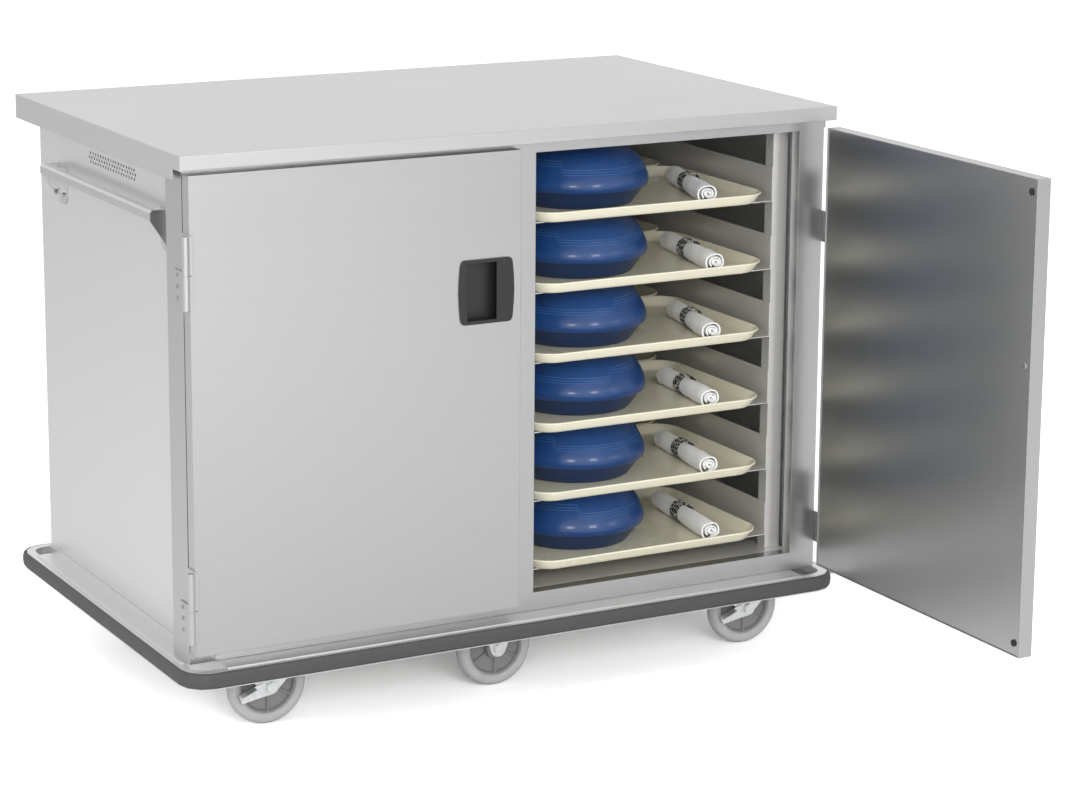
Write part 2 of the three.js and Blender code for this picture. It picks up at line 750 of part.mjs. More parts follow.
/** Rubber strip with a bowed face, closed round all four sides. */
function bumper() {
  const middle = (BUMPER_TOP + BUMPER_BOTTOM) / 2;
  const half = (BUMPER_TOP - BUMPER_BOTTOM) / 2;
  const section = [
    [BUMPER_THICKNESS - SEAT, middle - half],
    [BUMPER_THICKNESS * 0.45, middle - half],
    [BUMPER_THICKNESS * 0.1, middle - half * 0.7],
    [0, middle],
    [BUMPER_THICKNESS * 0.1, middle + half * 0.7],
    [BUMPER_THICKNESS * 0.45, middle + half],
    [BUMPER_THICKNESS - SEAT, middle + half],
  ];
  const rings = section.map(([offset, z]) => roundedRing(
    BUMPER_LENGTH / 2 - offset,
    BUMPER_DEPTH / 2 - offset,
    BUMPER_CORNER - offset,
    RIM_STEPS,
    z,
  ));
  return loft(rings, true);
}

// ---------------------------------------------------------------- push handle

/** Right-hand handle: a folded bar on two gusset brackets bolted to the side panel. */
function pushHandle() {
  const wall = PANEL_OUT + SEAT;
  const out = PANEL_OUT + HANDLE_REACH;
  const barIn = out - HANDLE_BAR_WIDTH;
  const edge = HANDLE_LIP / 4;
  const half = HANDLE_LENGTH / 2;
  const low = HANDLE_TOP - HANDLE_DROP;
  const bar = alongY(
    foldedSheet([
      [out, HANDLE_TOP - HANDLE_LIP],
      [out, HANDLE_TOP - edge],
      [out - edge, HANDLE_TOP],
      [barIn, HANDLE_TOP],
      [barIn, HANDLE_TOP - HANDLE_LIP * 0.6],
    ]),
    -half,
    half,
  );
  const gusset = alongY(
    outline([
      [wall, low],
      [out, HANDLE_TOP - HANDLE_LIP],
      [out, HANDLE_TOP - edge],
      [out - edge, HANDLE_TOP],
      [wall, HANDLE_TOP],
    ]),
    half - SHEET,
    half,
  );
  const foot = alongX(
    outline([
      [half, low],
      [half, HANDLE_TOP],
      [half - HANDLE_FOOT, HANDLE_TOP],
      [half - HANDLE_FOOT, low + HANDLE_FOOT / 3],
      [half - HANDLE_FOOT * 0.75, low],
    ]),
    wall,
    wall + SHEET,
  );
  const boltAt = (z) => rodX(
    HANDLE_BOLT_RADIUS,
    wall + SHEET - WELD,
    wall + SHEET + HANDLE_BOLT_RADIUS * 0.7,
    half - HANDLE_FOOT * 0.55,
    z,
    BOLT_FACETS,
  );
  const end = join(gusset, foot, boltAt(HANDLE_TOP - HANDLE_LIP), boltAt(low + HANDLE_LIP));
  return join(bar, end, flipped(end));
}

// ---------------------------------------------------------------- doors
// Drawn closed, as the left one, from the hinge axis: x towards the free edge, y into the cabinet.

function pullOutline() {
  const right = DOOR_FAR - PULL_EDGE;
  const left = right - PULL_WIDTH;
  const top = PULL_CENTRE + PULL_HEIGHT / 2;
  const bottom = PULL_CENTRE - PULL_HEIGHT / 2;
  const shape = new THREE.Shape();
  shape.moveTo(left + PULL_BULGE, bottom);
  shape.lineTo(right - PULL_BULGE, bottom);
  shape.quadraticCurveTo(right - PULL_BULGE / 3, bottom, right - PULL_BULGE / 4, bottom + PULL_BULGE);
  shape.quadraticCurveTo(right + PULL_BULGE / 4, PULL_CENTRE, right - PULL_BULGE / 4, top - PULL_BULGE);
  shape.quadraticCurveTo(right - PULL_BULGE / 3, top, right - PULL_BULGE, top);
  shape.lineTo(left + PULL_BULGE, top);
  shape.quadraticCurveTo(left + PULL_BULGE / 3, top, left + PULL_BULGE / 4, top - PULL_BULGE);
  shape.quadraticCurveTo(left - PULL_BULGE / 4, PULL_CENTRE, left + PULL_BULGE / 4, bottom + PULL_BULGE);
  shape.quadraticCurveTo(left + PULL_BULGE / 3, bottom, left + PULL_BULGE, bottom);
  return shape;
}
const PULL_LEFT = DOOR_FAR - PULL_EDGE - PULL_WIDTH + PULL_WINDOW_INSET;

/** A block in the pull's pocket: its walls grown by `grow`, from one depth to another. */
function pocketBlock(grow, width, y0, y1) {
  return box(
    PULL_LEFT - grow,
    PULL_LEFT + width + grow,
    y0,
    y1,
    PULL_CENTRE - PULL_WINDOW_HEIGHT / 2 - grow,
    PULL_CENTRE + PULL_WINDOW_HEIGHT / 2 + grow,
  );
}

/** Recessed pull: a flange on the door's face and a pocket that runs on behind its finger lip. */
function doorPull() {
  const face = DOOR_OUTER - SEAT;
  const bottom = DOOR_OUTER + PULL_POCKET_DEPTH;
  const flange = alongY(pullOutline(), face - PULL_FLANGE, face);
  const inner = PULL_POCKET_WIDTH - 2 * PULL_WALL;
  const cup = pocketBlock(0, inner, face - WELD, bottom);
  const shell = pocketBlock(PULL_WALL, inner, face - WELD, bottom + PULL_WALL);
  const cupWalls = cut(shell, cup);
  const window = pocketBlock(0, PULL_WINDOW_WIDTH, face - PULL_FLANGE - 1, face + 1);
  return join(cut(flange, window), cut(cupWalls, window));
}

/** Outer pan of a door: face, four edges, the inner return, two hinge knuckles and the stop stud. */
function doorPan() {
  const top = DOOR_TOP;
  const ledge = DOOR_INNER - LINER_INSET - LINER_SHEET - SEAT;
  const shell = box(DOOR_NEAR, DOOR_FAR, DOOR_OUTER, DOOR_INNER, DOOR_BOTTOM, top);
  const hollow = (inset, y0, y1) => box(
    DOOR_NEAR + inset,
    DOOR_FAR - inset,
    y0,
    y1,
    DOOR_BOTTOM + inset,
    top - inset,
  );
  const cavity = hollow(SHEET, DOOR_OUTER + SHEET, ledge - SHEET);
  const mouth = hollow(DOOR_LIP, ledge - SHEET - 1, ledge + 1);
  const rebate = hollow(SHEET, ledge, DOOR_INNER + 1);
  const pullHole = pocketBlock(
    PULL_WALL + SEAT,
    PULL_POCKET_WIDTH - 2 * PULL_WALL,
    DOOR_OUTER - 1,
    DOOR_OUTER + SHEET + 1,
  );
  const pan = cut(shell, cavity, mouth, rebate, pullHole);
  const studX = DOOR_NEAR + STOP_STUD_INSET;
  const stud = rodZ(STOP_STUD_RADIUS, DOOR_BOTTOM - STOP_STUD_LENGTH, DOOR_BOTTOM + WELD)
    .translate(studX, (DOOR_OUTER + DOOR_INNER) / 2, 0);
  return join(pan, stud, ...Object.values(HINGE_SPLITS).map(doorKnuckle));
}

function doorLiner() {
  const inset = SHEET + SEAT;
  const face = DOOR_INNER - LINER_INSET;
  const top = DOOR_TOP;
  return box(
    DOOR_NEAR + inset,
    DOOR_FAR - inset,
    face - LINER_SHEET,
    face,
    DOOR_BOTTOM + inset,
    top - inset,
  );
}

/** Upper half of a lift-off hinge, welded to the door's edge, with its bore open below. */
function doorKnuckle(split) {
  const low = split + SEAT;
  const high = low + DOOR_KNUCKLE;
  const bore = clearing(PIN_RADIUS, SMALL_FACETS);
  const barrel = turned(
    [
      [0, high],
      [BARREL_RADIUS - 1, high],
      [BARREL_RADIUS, high - 1],
      [BARREL_RADIUS, low],
      [bore, low],
      [bore, low + PIN_LENGTH + 1],
      [0, low + PIN_LENGTH + 1],
    ],
    SMALL_FACETS,
  );
  const neckY = HINGE_LEAF / 2;
  const leafX = DOOR_NEAR - HINGE_LEAF;
  const neck = box(BARREL_RADIUS - 1.5, DOOR_NEAR, -neckY, neckY, low, high - 1);
  const leaf = box(leafX, DOOR_NEAR + WELD, -neckY, DOOR_INNER - 4, low, high - 1);
  return join(barrel, neck, leaf);
}

/** Lower half of a lift-off hinge: leaf and screws on the post's side, barrel and pin. */
function frameHinge(split) {
  const low = split - FRAME_KNUCKLE;
  const barrel = turned(
    [
      [0, low],
      [BARREL_RADIUS - 1, low],
      [BARREL_RADIUS, low + 1],
      [BARREL_RADIUS, split],
      [PIN_RADIUS, split],
      [PIN_RADIUS, split + PIN_LENGTH],
      [0, split + PIN_LENGTH],
    ],
    SMALL_FACETS,
  );
  const side = AXIS_X - POST_OUT - SEAT;
  const neckY = HINGE_LEAF / 2;
  const leafEnd = FRAME_Y - AXIS_Y + 34;
  const screwY = FRAME_Y - AXIS_Y + 20;
  const neck = box(BARREL_RADIUS - 1.5, side, -neckY, neckY, low + 1, split - 1);
  const leaf = box(side - HINGE_LEAF, side, -neckY, leafEnd, low + 1, split - 1);
  const screws = [0.5, 1.5, 2.5].map((step) => rodX(
    HINGE_SCREW_RADIUS,
    side - HINGE_LEAF - HINGE_SCREW_RADIUS / 2,
    side - HINGE_LEAF + WELD,
    screwY,
    split - step * HINGE_SCREW_PITCH,
    BOLT_FACETS,
  ));
  return join(barrel, neck, leaf, ...screws);
}

function buildDoor(side, openAngle) {
  const hand = side === 'left' ? 1 : -1;
  const handed = (geometry) => (hand > 0 ? geometry : mirrored(geometry));
  const door = new THREE.Group();
  door.position.set(-hand * AXIS_X, AXIS_Y, 0);
  door.rotation.z = -hand * THREE.MathUtils.degToRad(openAngle);
  add(`${side}_door_pan`, handed(doorPan()), brushedSteel, door);
  add(`${side}_door_liner`, handed(doorLiner()), innerSteel, door);
  add(`${side}_door_pull`, handed(doorPull()), pullBlack, door);
  cart.add(door);

  const hinges = new THREE.Group();
  hinges.position.set(-hand * AXIS_X, AXIS_Y, 0);
  for (const [level, split] of Object.entries(HINGE_SPLITS)) {
    add(`${side}_${level}_frame_hinge`, handed(frameHinge(split)), hingeSteel, hinges);
  }
  cart.add(hinges);
}

// ---------------------------------------------------------------- casters
// Drawn from the king pin at x = y = 0; the wheel hangs behind it, towards +X.

/** Moulded wheel with a hollowed core; its flat lowest facet touches the floor. */
function wheel() {
  const rim = WHEEL_RADIUS / Math.cos(Math.PI / WHEEL_FACETS);
  const half = WHEEL_WIDTH / 2;
  const hub = HUB_WIDTH / 2;
  const bore = clearing(AXLE_RADIUS, WHEEL_FACETS);
  const side = [
    [bore, hub],
    [HUB_RADIUS, hub],
    [HUB_RADIUS + 4, half * 0.25],
    [rim * 0.66, half * 0.25],
    [rim * 0.74, half],
    [rim, half * 0.75],
  ];
  const profile = [
    ...side,
    ...side.slice().reverse().map(([r, w]) => [r, -w]),
    side[0],
  ];
  return turned(profile, WHEEL_FACETS).rotateZ(Math.PI / WHEEL_FACETS).rotateX(Math.PI / 2);
}

/** Fork leg seen from the side: a V that opens upwards from the axle by `lean` degrees. */
function forkLeg(wheelX, lean, top) {
  const eye = HUB_RADIUS;
  const tilt = THREE.MathUtils.degToRad(lean);
  const spread = eye / Math.cos(tilt) + (top - AXLE_Z) * Math.tan(tilt);
  const width = Math.min(spread, FORK_HALF_WIDTH);
  const bendZ = AXLE_Z + (width - eye / Math.cos(tilt)) / Math.tan(tilt);
  const shape = new THREE.Shape();
  shape.moveTo(wheelX - width, top);
  shape.lineTo(wheelX - width, Math.min(bendZ, top - FORK_CROWN));
  shape.absarc(wheelX, AXLE_Z, eye, Math.PI + tilt, -tilt, false);
  shape.lineTo(wheelX + width, Math.min(bendZ, top - FORK_CROWN));
  shape.lineTo(wheelX + width, top);
  return shape;
}

/** Two legs and the axle bolt; the outer leg is towards -Y. */
function forkLegs(wheelX, lean, top, headGap) {
  const leg = alongY(forkLeg(wheelX, lean, top), FORK_GAP, LEG_OUT, 3);
  const axle = rodY(AXLE_RADIUS, -LEG_OUT - headGap - 1, LEG_OUT + 1, wheelX, AXLE_Z);
  const head = rodY(HUB_RADIUS * 0.7, -LEG_OUT - headGap - 6, -LEG_OUT - headGap, wheelX, AXLE_Z, BOLT_FACETS);
  const nut = rodY(HUB_RADIUS * 0.7, LEG_OUT - WELD, LEG_OUT + 7, wheelX, AXLE_Z, BOLT_FACETS);
  return [leg, flipped(leg), axle, head, nut];
}

function swivelFork(headGap) {
  const low = FORK_CROWN_TOP - FORK_CROWN;
  const disc = rodZ(RACE_RADIUS + 2, low, FORK_CROWN_TOP, RACE_FACETS);
  const reach = CASTER_LEAD + FORK_HALF_WIDTH;
  const bridge = box(0, reach, -LEG_OUT, LEG_OUT, low, FORK_CROWN_TOP);
  const pin = rodZ(KING_PIN_RADIUS, FORK_CROWN_TOP - WELD, FORK_CROWN_TOP + KING_PIN_LENGTH);
  return join(disc, bridge, pin, ...forkLegs(CASTER_LEAD, 45, FORK_CROWN_TOP, headGap));
}

/** Top plate with the ball race that the fork turns in. */
function swivelPlate() {
  const top = CASTER_HEIGHT - SEAT;
  const low = top - PLATE_SHEET;
  const plate = box(-PLATE_LENGTH / 2, PLATE_LENGTH / 2, -PLATE_WIDTH / 2, PLATE_WIDTH / 2, low, top);
  const raceBottom = FORK_CROWN_TOP + SEAT;
  const hole = clearing(KING_PIN_RADIUS, RACE_FACETS);
  const race = turned(
    [
      [0, low + WELD],
      [RACE_RADIUS - 5, low + WELD],
      [RACE_RADIUS, low - 4],
      [RACE_RADIUS, raceBottom],
      [hole, raceBottom],
      [hole, raceBottom + KING_PIN_LENGTH + 1],
      [0, raceBottom + KING_PIN_LENGTH + 1],
    ],
    RACE_FACETS,
  );
  return join(plate, race);
}

function rigidFork() {
  const top = CASTER_HEIGHT - SEAT;
  const low = top - PLATE_SHEET;
  const plate = box(-PLATE_LENGTH / 2, PLATE_LENGTH / 2, -PLATE_WIDTH / 2, PLATE_WIDTH / 2, low, top);
  return join(plate, ...forkLegs(0, 20, low + WELD, 0));
}

/** Brake lever on the axle outside the near leg, with a foot pad at its end. */
function brakeLever() {
  const y = -LEG_OUT - SEAT - BRAKE_SHEET;
  const hub = HUB_RADIUS - 1;
  const reach = 64; // axle to the pad's tip
  const arm = new THREE.Shape();
  arm.moveTo(0, hub);
  arm.lineTo(-34, 4);
  arm.lineTo(-reach, -8);
  arm.lineTo(-reach + 6, -25);
  arm.lineTo(-32, -20);
  arm.lineTo(0, -hub);
  arm.absarc(0, 0, hub, -Math.PI / 2, Math.PI / 2, false);
  const hole = new THREE.Path();
  hole.absarc(0, 0, clearing(AXLE_RADIUS, 12), 0, Math.PI * 2, true);
  arm.holes.push(hole);
  const plate = alongY(arm, y, y + BRAKE_SHEET, 6);
  const pad = outline([
    [-reach, -8],
    [-34, 4],
    [-34, 4 - BRAKE_SHEET],
    [-reach, -8 - BRAKE_SHEET],
  ]);
  const tread = alongY(pad, y - 16, y + WELD);
  return join(plate, tread).translate(CASTER_LEAD, 0, AXLE_Z);
}

function buildSwivelCaster(name, x, y, braked) {
  const group = new THREE.Group();
  group.position.set(x, y, 0);
  const handed = (geometry) => (y < 0 ? geometry : flipped(geometry));
  add(`${name}_caster_plate`, swivelPlate(), casterZinc, group);
  add(`${name}_caster_fork`, handed(swivelFork(braked ? HEAD_GAP : 0)), casterZinc, group);
  add(`${name}_wheel`, wheel().translate(CASTER_LEAD, 0, AXLE_Z), wheelGrey, group);
  if (braked) {
    add(`${name}_brake_lever`, handed(brakeLever()), casterZinc, group);
  }
  cart.add(group);
}

function buildRigidCaster(name, y) {
  const group = new THREE.Group();
  group.position.set(0, y, 0);
  const handed = (geometry) => (y < 0 ? geometry : flipped(geometry));
  add(`${name}_caster_fork`, handed(rigidFork()), casterZinc, group);
  add(`${name}_wheel`, wheel().translate(0, 0, AXLE_Z), wheelGrey, group);
  cart.add(group);
}

// ---------------------------------------------------------------- trays and what they carry

/** Moulded tray: sloping sides, a turned-down rim and round corners, bottom on z = 0. */
function tray() {
  const ring = (inset, z) => roundedRing(
    TRAY_LENGTH / 2 - inset,
    TRAY_WIDTH / 2 - inset,
    TRAY_CORNER - inset,
    TRAY_STEPS,
    z,
  );
  const rimTop = TRAY_HEIGHT;
  const lipBottom = rimTop - TRAY_LIP;
  return loft([
    ring(TRAY_SLOPE, 0),
    ring(TRAY_WALL * 2.8, rimTop - TRAY_WALL * 1.6),
    ring(TRAY_WALL, rimTop - TRAY_WALL * 1.6),
    ring(TRAY_WALL, lipBottom),
    ring(0, lipBottom),
    ring(0, rimTop - TRAY_WALL),
    ring(TRAY_WALL, rimTop),
    ring(TRAY_WALL * 2.8, rimTop),
    ring(TRAY_SLOPE, TRAY_WALL),
  ]);
}

/** Insulated meal dome on its base, one closed pod. */
function dome() {
  const cover = DOME_HEIGHT - DOME_WIDEST;
  return turned(
    [
      [0, 0],
      [DOME_FOOT_RADIUS, 0],
      [DOME_RADIUS, DOME_WIDEST],
      [DOME_RADIUS - 3, DOME_WIDEST + cover * 0.25],
      [DOME_SHOULDER_RADIUS, DOME_HEIGHT - 21],
      [DOME_SHOULDER_RADIUS * 0.7, DOME_HEIGHT - 3],
      [0, DOME_HEIGHT],
    ],
    DOME_FACETS,
  );
}

/** Napkin rolled round cutlery: slightly flat, drawn in under its paper band, lying on z = 0. */
function napkinRoll() {
  const half = NAPKIN_LENGTH / 2;
  const stations = [[-half, 1], [half * 0.15, 0.88], [half, 1]];
  const rings = stations.map(([y, swell]) => {
    const ring = [];
    for (let i = 0; i < SMALL_FACETS; i += 1) {
      const turn = (i + 0.5) * Math.PI * 2 / SMALL_FACETS;
      const wide = NAPKIN_RADIUS * 1.08 * swell * Math.cos(turn);
      const high = NAPKIN_RADIUS * (1 + 0.95 * swell * Math.sin(turn));
      ring.push(new THREE.Vector3(wide, y, Math.max(high, NAPKIN_RADIUS * 0.12)));
    }
    return ring;
  });
  return loft(rings).translate(0, 0, -NAPKIN_RADIUS * 0.12);
}

function buildTray(level) {
  const bayMiddle = (TRAY_IN + TRAY_OUT) / 2;
  const ledge = ledgeHeight(level);
  const trayBottom = ledge + SEAT;
  const trayFloor = trayBottom + TRAY_WALL + SEAT;
  const lie = NAPKIN_LIES[(level - 1) % NAPKIN_LIES.length];
  const trayMiddle = TRAY_FRONT_Y + TRAY_WIDTH / 2;
  add(`tray_${level}`, tray().translate(bayMiddle, trayMiddle, trayBottom), trayIvory);

  const pod = dome().translate(bayMiddle - DOME_LEFT, trayMiddle + DOME_BACK, trayFloor);
  add(`meal_dome_${level}`, pod, domeBlue);

  const napkin = napkinRoll().rotateZ(-THREE.MathUtils.degToRad(lie.turn));
  const napkinX = bayMiddle + NAPKIN_RIGHT + lie.aside;
  const napkinY = trayMiddle - NAPKIN_FORWARD - lie.forward;
  add(`napkin_roll_${level}`, napkin.translate(napkinX, napkinY, trayFloor), napkinWhite);
}

// ---------------------------------------------------------------- the cart

add('counter_top', counterTop(), brushedSteel);
add('side_panel_right', sidePanel(), brushedSteel);
add('side_panel_left', mirrored(sidePanel()), brushedSteel);
add('back_panel', backPanel(), brushedSteel);
add('ceiling_panel', ceilingPanel(), innerSteel);
add('floor_pan', floorPan(), innerSteel);
add('front_frame', frontFrame(), brushedSteel);
add('tray_rack_right', sideRack(), innerSteel);
add('tray_rack_left', mirrored(sideRack()), innerSteel);
add('centre_rack', centreRack(), innerSteel);
add('chassis', chassis(), brushedSteel);
add('bumper', bumper(), bumperGrey);
add('push_handle_right', pushHandle(), brushedSteel);
add('push_handle_left', mirrored(pushHandle()), brushedSteel);

buildDoor('left', 0);
buildDoor('right', DOOR_OPEN_ANGLE);

buildSwivelCaster('front_left', -CASTER_X, -CASTER_Y, true);
buildSwivelCaster('front_right', CASTER_X, -CASTER_Y, true);
buildSwivelCaster('rear_left', -CASTER_X, CASTER_Y, false);
buildSwivelCaster('rear_right', CASTER_X, CASTER_Y, false);
buildRigidCaster('front_middle', -CASTER_Y);
buildRigidCaster('rear_middle', CASTER_Y);

for (let level = 1; level <= TRAY_LEVELS; level += 1) {
  buildTray(level);
}

cart.position.y = -ORIGIN_Y;
const mealTrayCart = new THREE.Group();
mealTrayCart.add(cart);
export default mealTrayCart;
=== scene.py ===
"""Enclosed meal tray cart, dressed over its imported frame: metres, +Z up, doors towards -Y."""
import math
import bpy
import bmesh
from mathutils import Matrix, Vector


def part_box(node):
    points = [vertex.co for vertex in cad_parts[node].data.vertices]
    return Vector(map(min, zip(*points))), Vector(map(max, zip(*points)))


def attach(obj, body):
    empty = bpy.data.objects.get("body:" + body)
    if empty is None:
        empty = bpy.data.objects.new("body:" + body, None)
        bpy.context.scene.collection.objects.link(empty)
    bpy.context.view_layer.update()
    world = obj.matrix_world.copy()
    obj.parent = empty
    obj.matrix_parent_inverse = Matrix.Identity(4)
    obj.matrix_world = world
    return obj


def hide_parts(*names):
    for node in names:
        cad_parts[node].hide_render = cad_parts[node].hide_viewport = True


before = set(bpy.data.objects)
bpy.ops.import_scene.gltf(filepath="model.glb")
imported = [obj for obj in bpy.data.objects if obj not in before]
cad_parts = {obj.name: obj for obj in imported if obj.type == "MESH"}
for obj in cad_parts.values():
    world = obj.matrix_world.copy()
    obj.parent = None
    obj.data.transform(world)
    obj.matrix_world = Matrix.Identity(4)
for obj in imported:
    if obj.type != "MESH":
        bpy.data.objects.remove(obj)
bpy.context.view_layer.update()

LEVELS = range(1, 7)
WHEELS = (
    "front_left_wheel",
    "front_middle_wheel",
    "front_right_wheel",
    "rear_left_wheel",
    "rear_middle_wheel",
    "rear_right_wheel",
)

# Camera, solved from the cabinet's corners in the photograph
CAMERA_PLACE = (-2.62984, -4.96370, 1.93962)
CAMERA_TURN = (77.8256, -0.3758, -28.5371)  # degrees
CAMERA_LENS = 103.68  # millimetres
CAMERA_SENSOR = 36  # millimetres wide
CAMERA_SHIFT = -0.08
CAMERA_REACH = 100
CAMERA_SIDE = math.radians(-28.5)  # turns the front of a dome towards the camera

# Sizes that repeat the part's own
TRAY_LENGTH = 0.508
TRAY_WIDTH = 0.381
TRAY_CORNER = 0.055
TRAY_HEIGHT = 0.0222
TRAY_SHEET = 0.0030
TRAY_CROWN = 0.0014  # the rim's crown above its outline
TRAY_EDGE = 0.0016  # how far that outline is turned down
# Across a tray from its rim inwards: how far in and how far up each fold of the mould goes
TRAY_STEPS = (
    (0.0005, 0.0008), (0.0008, 0.0005), (0.0012, 0.0001), (0.0012, -0.0002), (0.0010, -0.0008),
    (0.0046, -0.0070), (0.0046, -0.0070), (0.0020, -0.0022), (0.0022, -0.0013), (0.0040, -0.0008),
    (0.0060, -0.0001),
)
BACK_ROW_SHIFT = 0.383  # a tray's width and the gap between the rows
NAPKIN_LENGTH = 0.250
NAPKIN_RADIUS = 0.0200
NAPKIN_TURNS = {1: 15, 2: 9, 3: 12, 4: 6, 5: 7, 6: 7}  # degrees, rear end to the right
NAPKIN_SHARES = {1: 0.93, 2: 0.97, 3: 0.86, 4: 0.84, 5: 0.90, 6: 1.0}  # length of each roll
BUMPER_CORNER = 0.054
BUMPER_SEGMENTS = 18
# Half of the bumper's section, from the middle of its face: how far in and how far up
BUMPER_STEPS = (
    (0.0003, 0.0045), (0.0006, 0.0045), (0.0011, 0.0030), (0.0018, 0.0016), (0.0029, 0.0005),
)

# Insulated cover, outer radius at each height, from its lip to its crown
COVER_PROFILE = (
    (0.1310, 0.0340), (0.1362, 0.0342), (0.1382, 0.0356), (0.1392, 0.0385), (0.1399, 0.0425),
    (0.1400, 0.0465), (0.1391, 0.0520), (0.1366, 0.0590), (0.1330, 0.0665), (0.1290, 0.0740),
    (0.1246, 0.0815), (0.1198, 0.0885), (0.1140, 0.0950), (0.1065, 0.1008), (0.0970, 0.1055),
    (0.0855, 0.1094), (0.0720, 0.1124), (0.0575, 0.1145), (0.0420, 0.1159), (0.0260, 0.1167),
    (0.0080, 0.1170),
)
BASE_PROFILE = (
    (0.0880, 0.0035), (0.1000, 0.0035), (0.1020, 0.0), (0.1065, 0.0), (0.1090, 0.0014),
    (0.1140, 0.0078), (0.1190, 0.0150), (0.1240, 0.0220), (0.1282, 0.0280), (0.1315, 0.0322),
    (0.1322, 0.0335), (0.1312, 0.0342),
)
RING_HEIGHTS = (0.0690, 0.0735, 0.0780)
RING_STEP = 0.0145  # how far the rings climb on two of their four quarters
RING_THICKNESS = 0.0017
RING_CORNERS = 72
ROUND_CORNERS = 96  # corners of the domes' and the wheels' circles
DOME_TURNS = {1: 35, 2: 32, 3: -11, 4: -15, 5: 30, 6: 53}  # degrees, how each cover was set down

# Wound napkin, its paper band and the cutlery that peeps out
ROLL_CORE = 0.0030
ROLL_STEPS = 66
ROLL_ANGLE = math.radians(20)  # one step of the winding
ROLL_FACES = 28  # along the roll
ROLL_SHEET = 0.0026  # stands for several plies
ROLL_SINK = 0.90  # height of the roll's axis, as a share of its radius
ROLL_WIDEN = 1.03
ROLL_FLATTEN = 0.93
ROLL_FLARE = 0.05  # at its front end
ROLL_LOWEST = 0.0004
ROLL_RAGGED = 0.0025  # how uneven its ends are
ROLL_WAVES = ((0.030, 95, 2.2), (0.018, 210, -3))  # share of the radius, rate along, rate around
BAND_PLACE = 0.016
BAND_WIDTH = 0.034
BAND_SHEET = 0.0008
BAND_RADIUS = 0.955  # share of the roll's radius
BAND_HEIGHT = 0.94  # height of its axis, as a share of the roll's radius
BAND_SQUEEZE = 0.13  # how far it draws the roll in
SQUEEZE_REACH = 0.030
WAVE_REACH = 0.04  # the waves start this far from the band
CUTLERY_SIZE = (0.0078, 0.022, 0.0042)
CUTLERY_PLACE = (-0.0065, 0.009, 0.0095)  # sideways, in from the roll's front end, up
CUTLERY_EDGE = 0.0020

# Wheel; the steps across a side are how far in and how far out each one goes
WHEEL_RADIUS = 0.0762
TREAD_CROWN = 0.004
TREAD_WIDTH = 0.026
TREAD_STEPS = ((0.004, 0.0022), (0.007, 0.0008), (0.005, -0.0018), (0.0015, -0.0022))
TREAD_SIDE = 0.0174  # just under the steps' widths together
TREAD_SLACK = 0.0005
CROWN_INSET = 0.005
CROWN_RISES = (0.0030, 0.0010)
CORE_RADIUS = 0.0552
CORE_WIDTH = 0.020
CORE_STEPS = ((0.0035, 0.0), (0.002, -0.0055), (0.027, 0.0), (0.002, 0.0135), (0.003, 0.001))
RIBS = 6
RIB_SIZE = (0.0042, 0.0185, 0.036)
RIB_REACH = 0.036  # a rib's middle from the axle
RIB_EDGE = 0.0009

# Small round parts on the doors' liners
BUFFER_RADIUS = 0.0065
BUFFER_HEIGHT = 0.002
BUFFER_IN = 0.014  # from the liner's free edge
BUFFER_FROM_END = 0.022  # from its top and bottom
CATCH_RADIUS = 0.006
CATCH_HEIGHT = 0.0016
CATCH_IN = 0.016
CATCH_LEVEL = 0.72

WELD_REACH = 0.00001
FLOOR_SIZE = 40

# Lamps: name, place, size, watts, what they point at, whether gloss mirrors them
LAMPS = (
    ("left_soft_box", (-3.0, -4.9, 1.9), 1.1, 44, (0.3, 0.2, 0.7), True),
    ("right_soft_box", (0.6, -5.4, 1.9), 1.1, 38, (0.3, 0.2, 0.7), True),
    ("key_soft_box", (-1.8, -6.6, 3.2), 2.4, 240, (0.2, 0.1, 0.8), False),
    ("side_soft_box", (-4.8, -0.6, 2.4), 2.4, 100, (-0.5, 0.2, 0.5), False),
)
AIR_STRENGTH = 0.72  # what the surround gives to matt surfaces; mirrors and the camera see 1
FLOOR_GAIN = 1.6  # lifts the lit floor to white for the camera, with its shadows left in

# Finishes
BRUSH_ALONG = 3
BRUSH_ACROSS = 700
BRUSH_SHADE = 0.975  # the darker brush lines
SMALL_EDGE = 0.001


# ------------------------------------------------------------------ selection and pieces

def select_only(piece):
    bpy.ops.object.select_all(action="DESELECT")
    piece.select_set(True)
    bpy.context.view_layer.objects.active = piece


def start_piece(name):
    """Names the piece just added."""
    piece = bpy.context.active_object
    piece.name = name
    piece.data.name = name
    return piece


def edit(piece, select="SELECT"):
    select_only(piece)
    bpy.ops.object.mode_set(mode="EDIT")
    bpy.ops.mesh.select_all(action=select)


def pick(piece, mode, test):
    """Selects the corners, edges or faces whose middle passes the test."""
    bpy.ops.mesh.select_mode(type=mode)
    bpy.ops.mesh.select_all(action="DESELECT")
    shape = bmesh.from_edit_mesh(piece.data)
    if mode == "VERT":
        for corner in shape.verts:
            corner.select = test(corner.co, corner.normal)
    elif mode == "EDGE":
        for edge in shape.edges:
            middle = (edge.verts[0].co + edge.verts[1].co) / 2
            along = (edge.verts[1].co - edge.verts[0].co).normalized()
            edge.select = test(middle, along)
    else:
        for face in shape.faces:
            face.select = test(face.calc_center_median(), face.normal)
    shape.select_flush_mode()
    bmesh.update_edit_mesh(piece.data)


def tidy_mesh(piece, angle=40, recalculate=True):
    """Leaves edit mode with doubles merged, faces turned outward if asked, soft edges smooth."""
    bpy.ops.mesh.select_all(action="SELECT")
    bpy.ops.mesh.remove_doubles(threshold=WELD_REACH)
    if recalculate:
        bpy.ops.mesh.normals_make_consistent(inside=False)
    bpy.ops.object.mode_set(mode="OBJECT")
    select_only(piece)
    bpy.ops.object.shade_smooth_by_angle(angle=math.radians(angle))


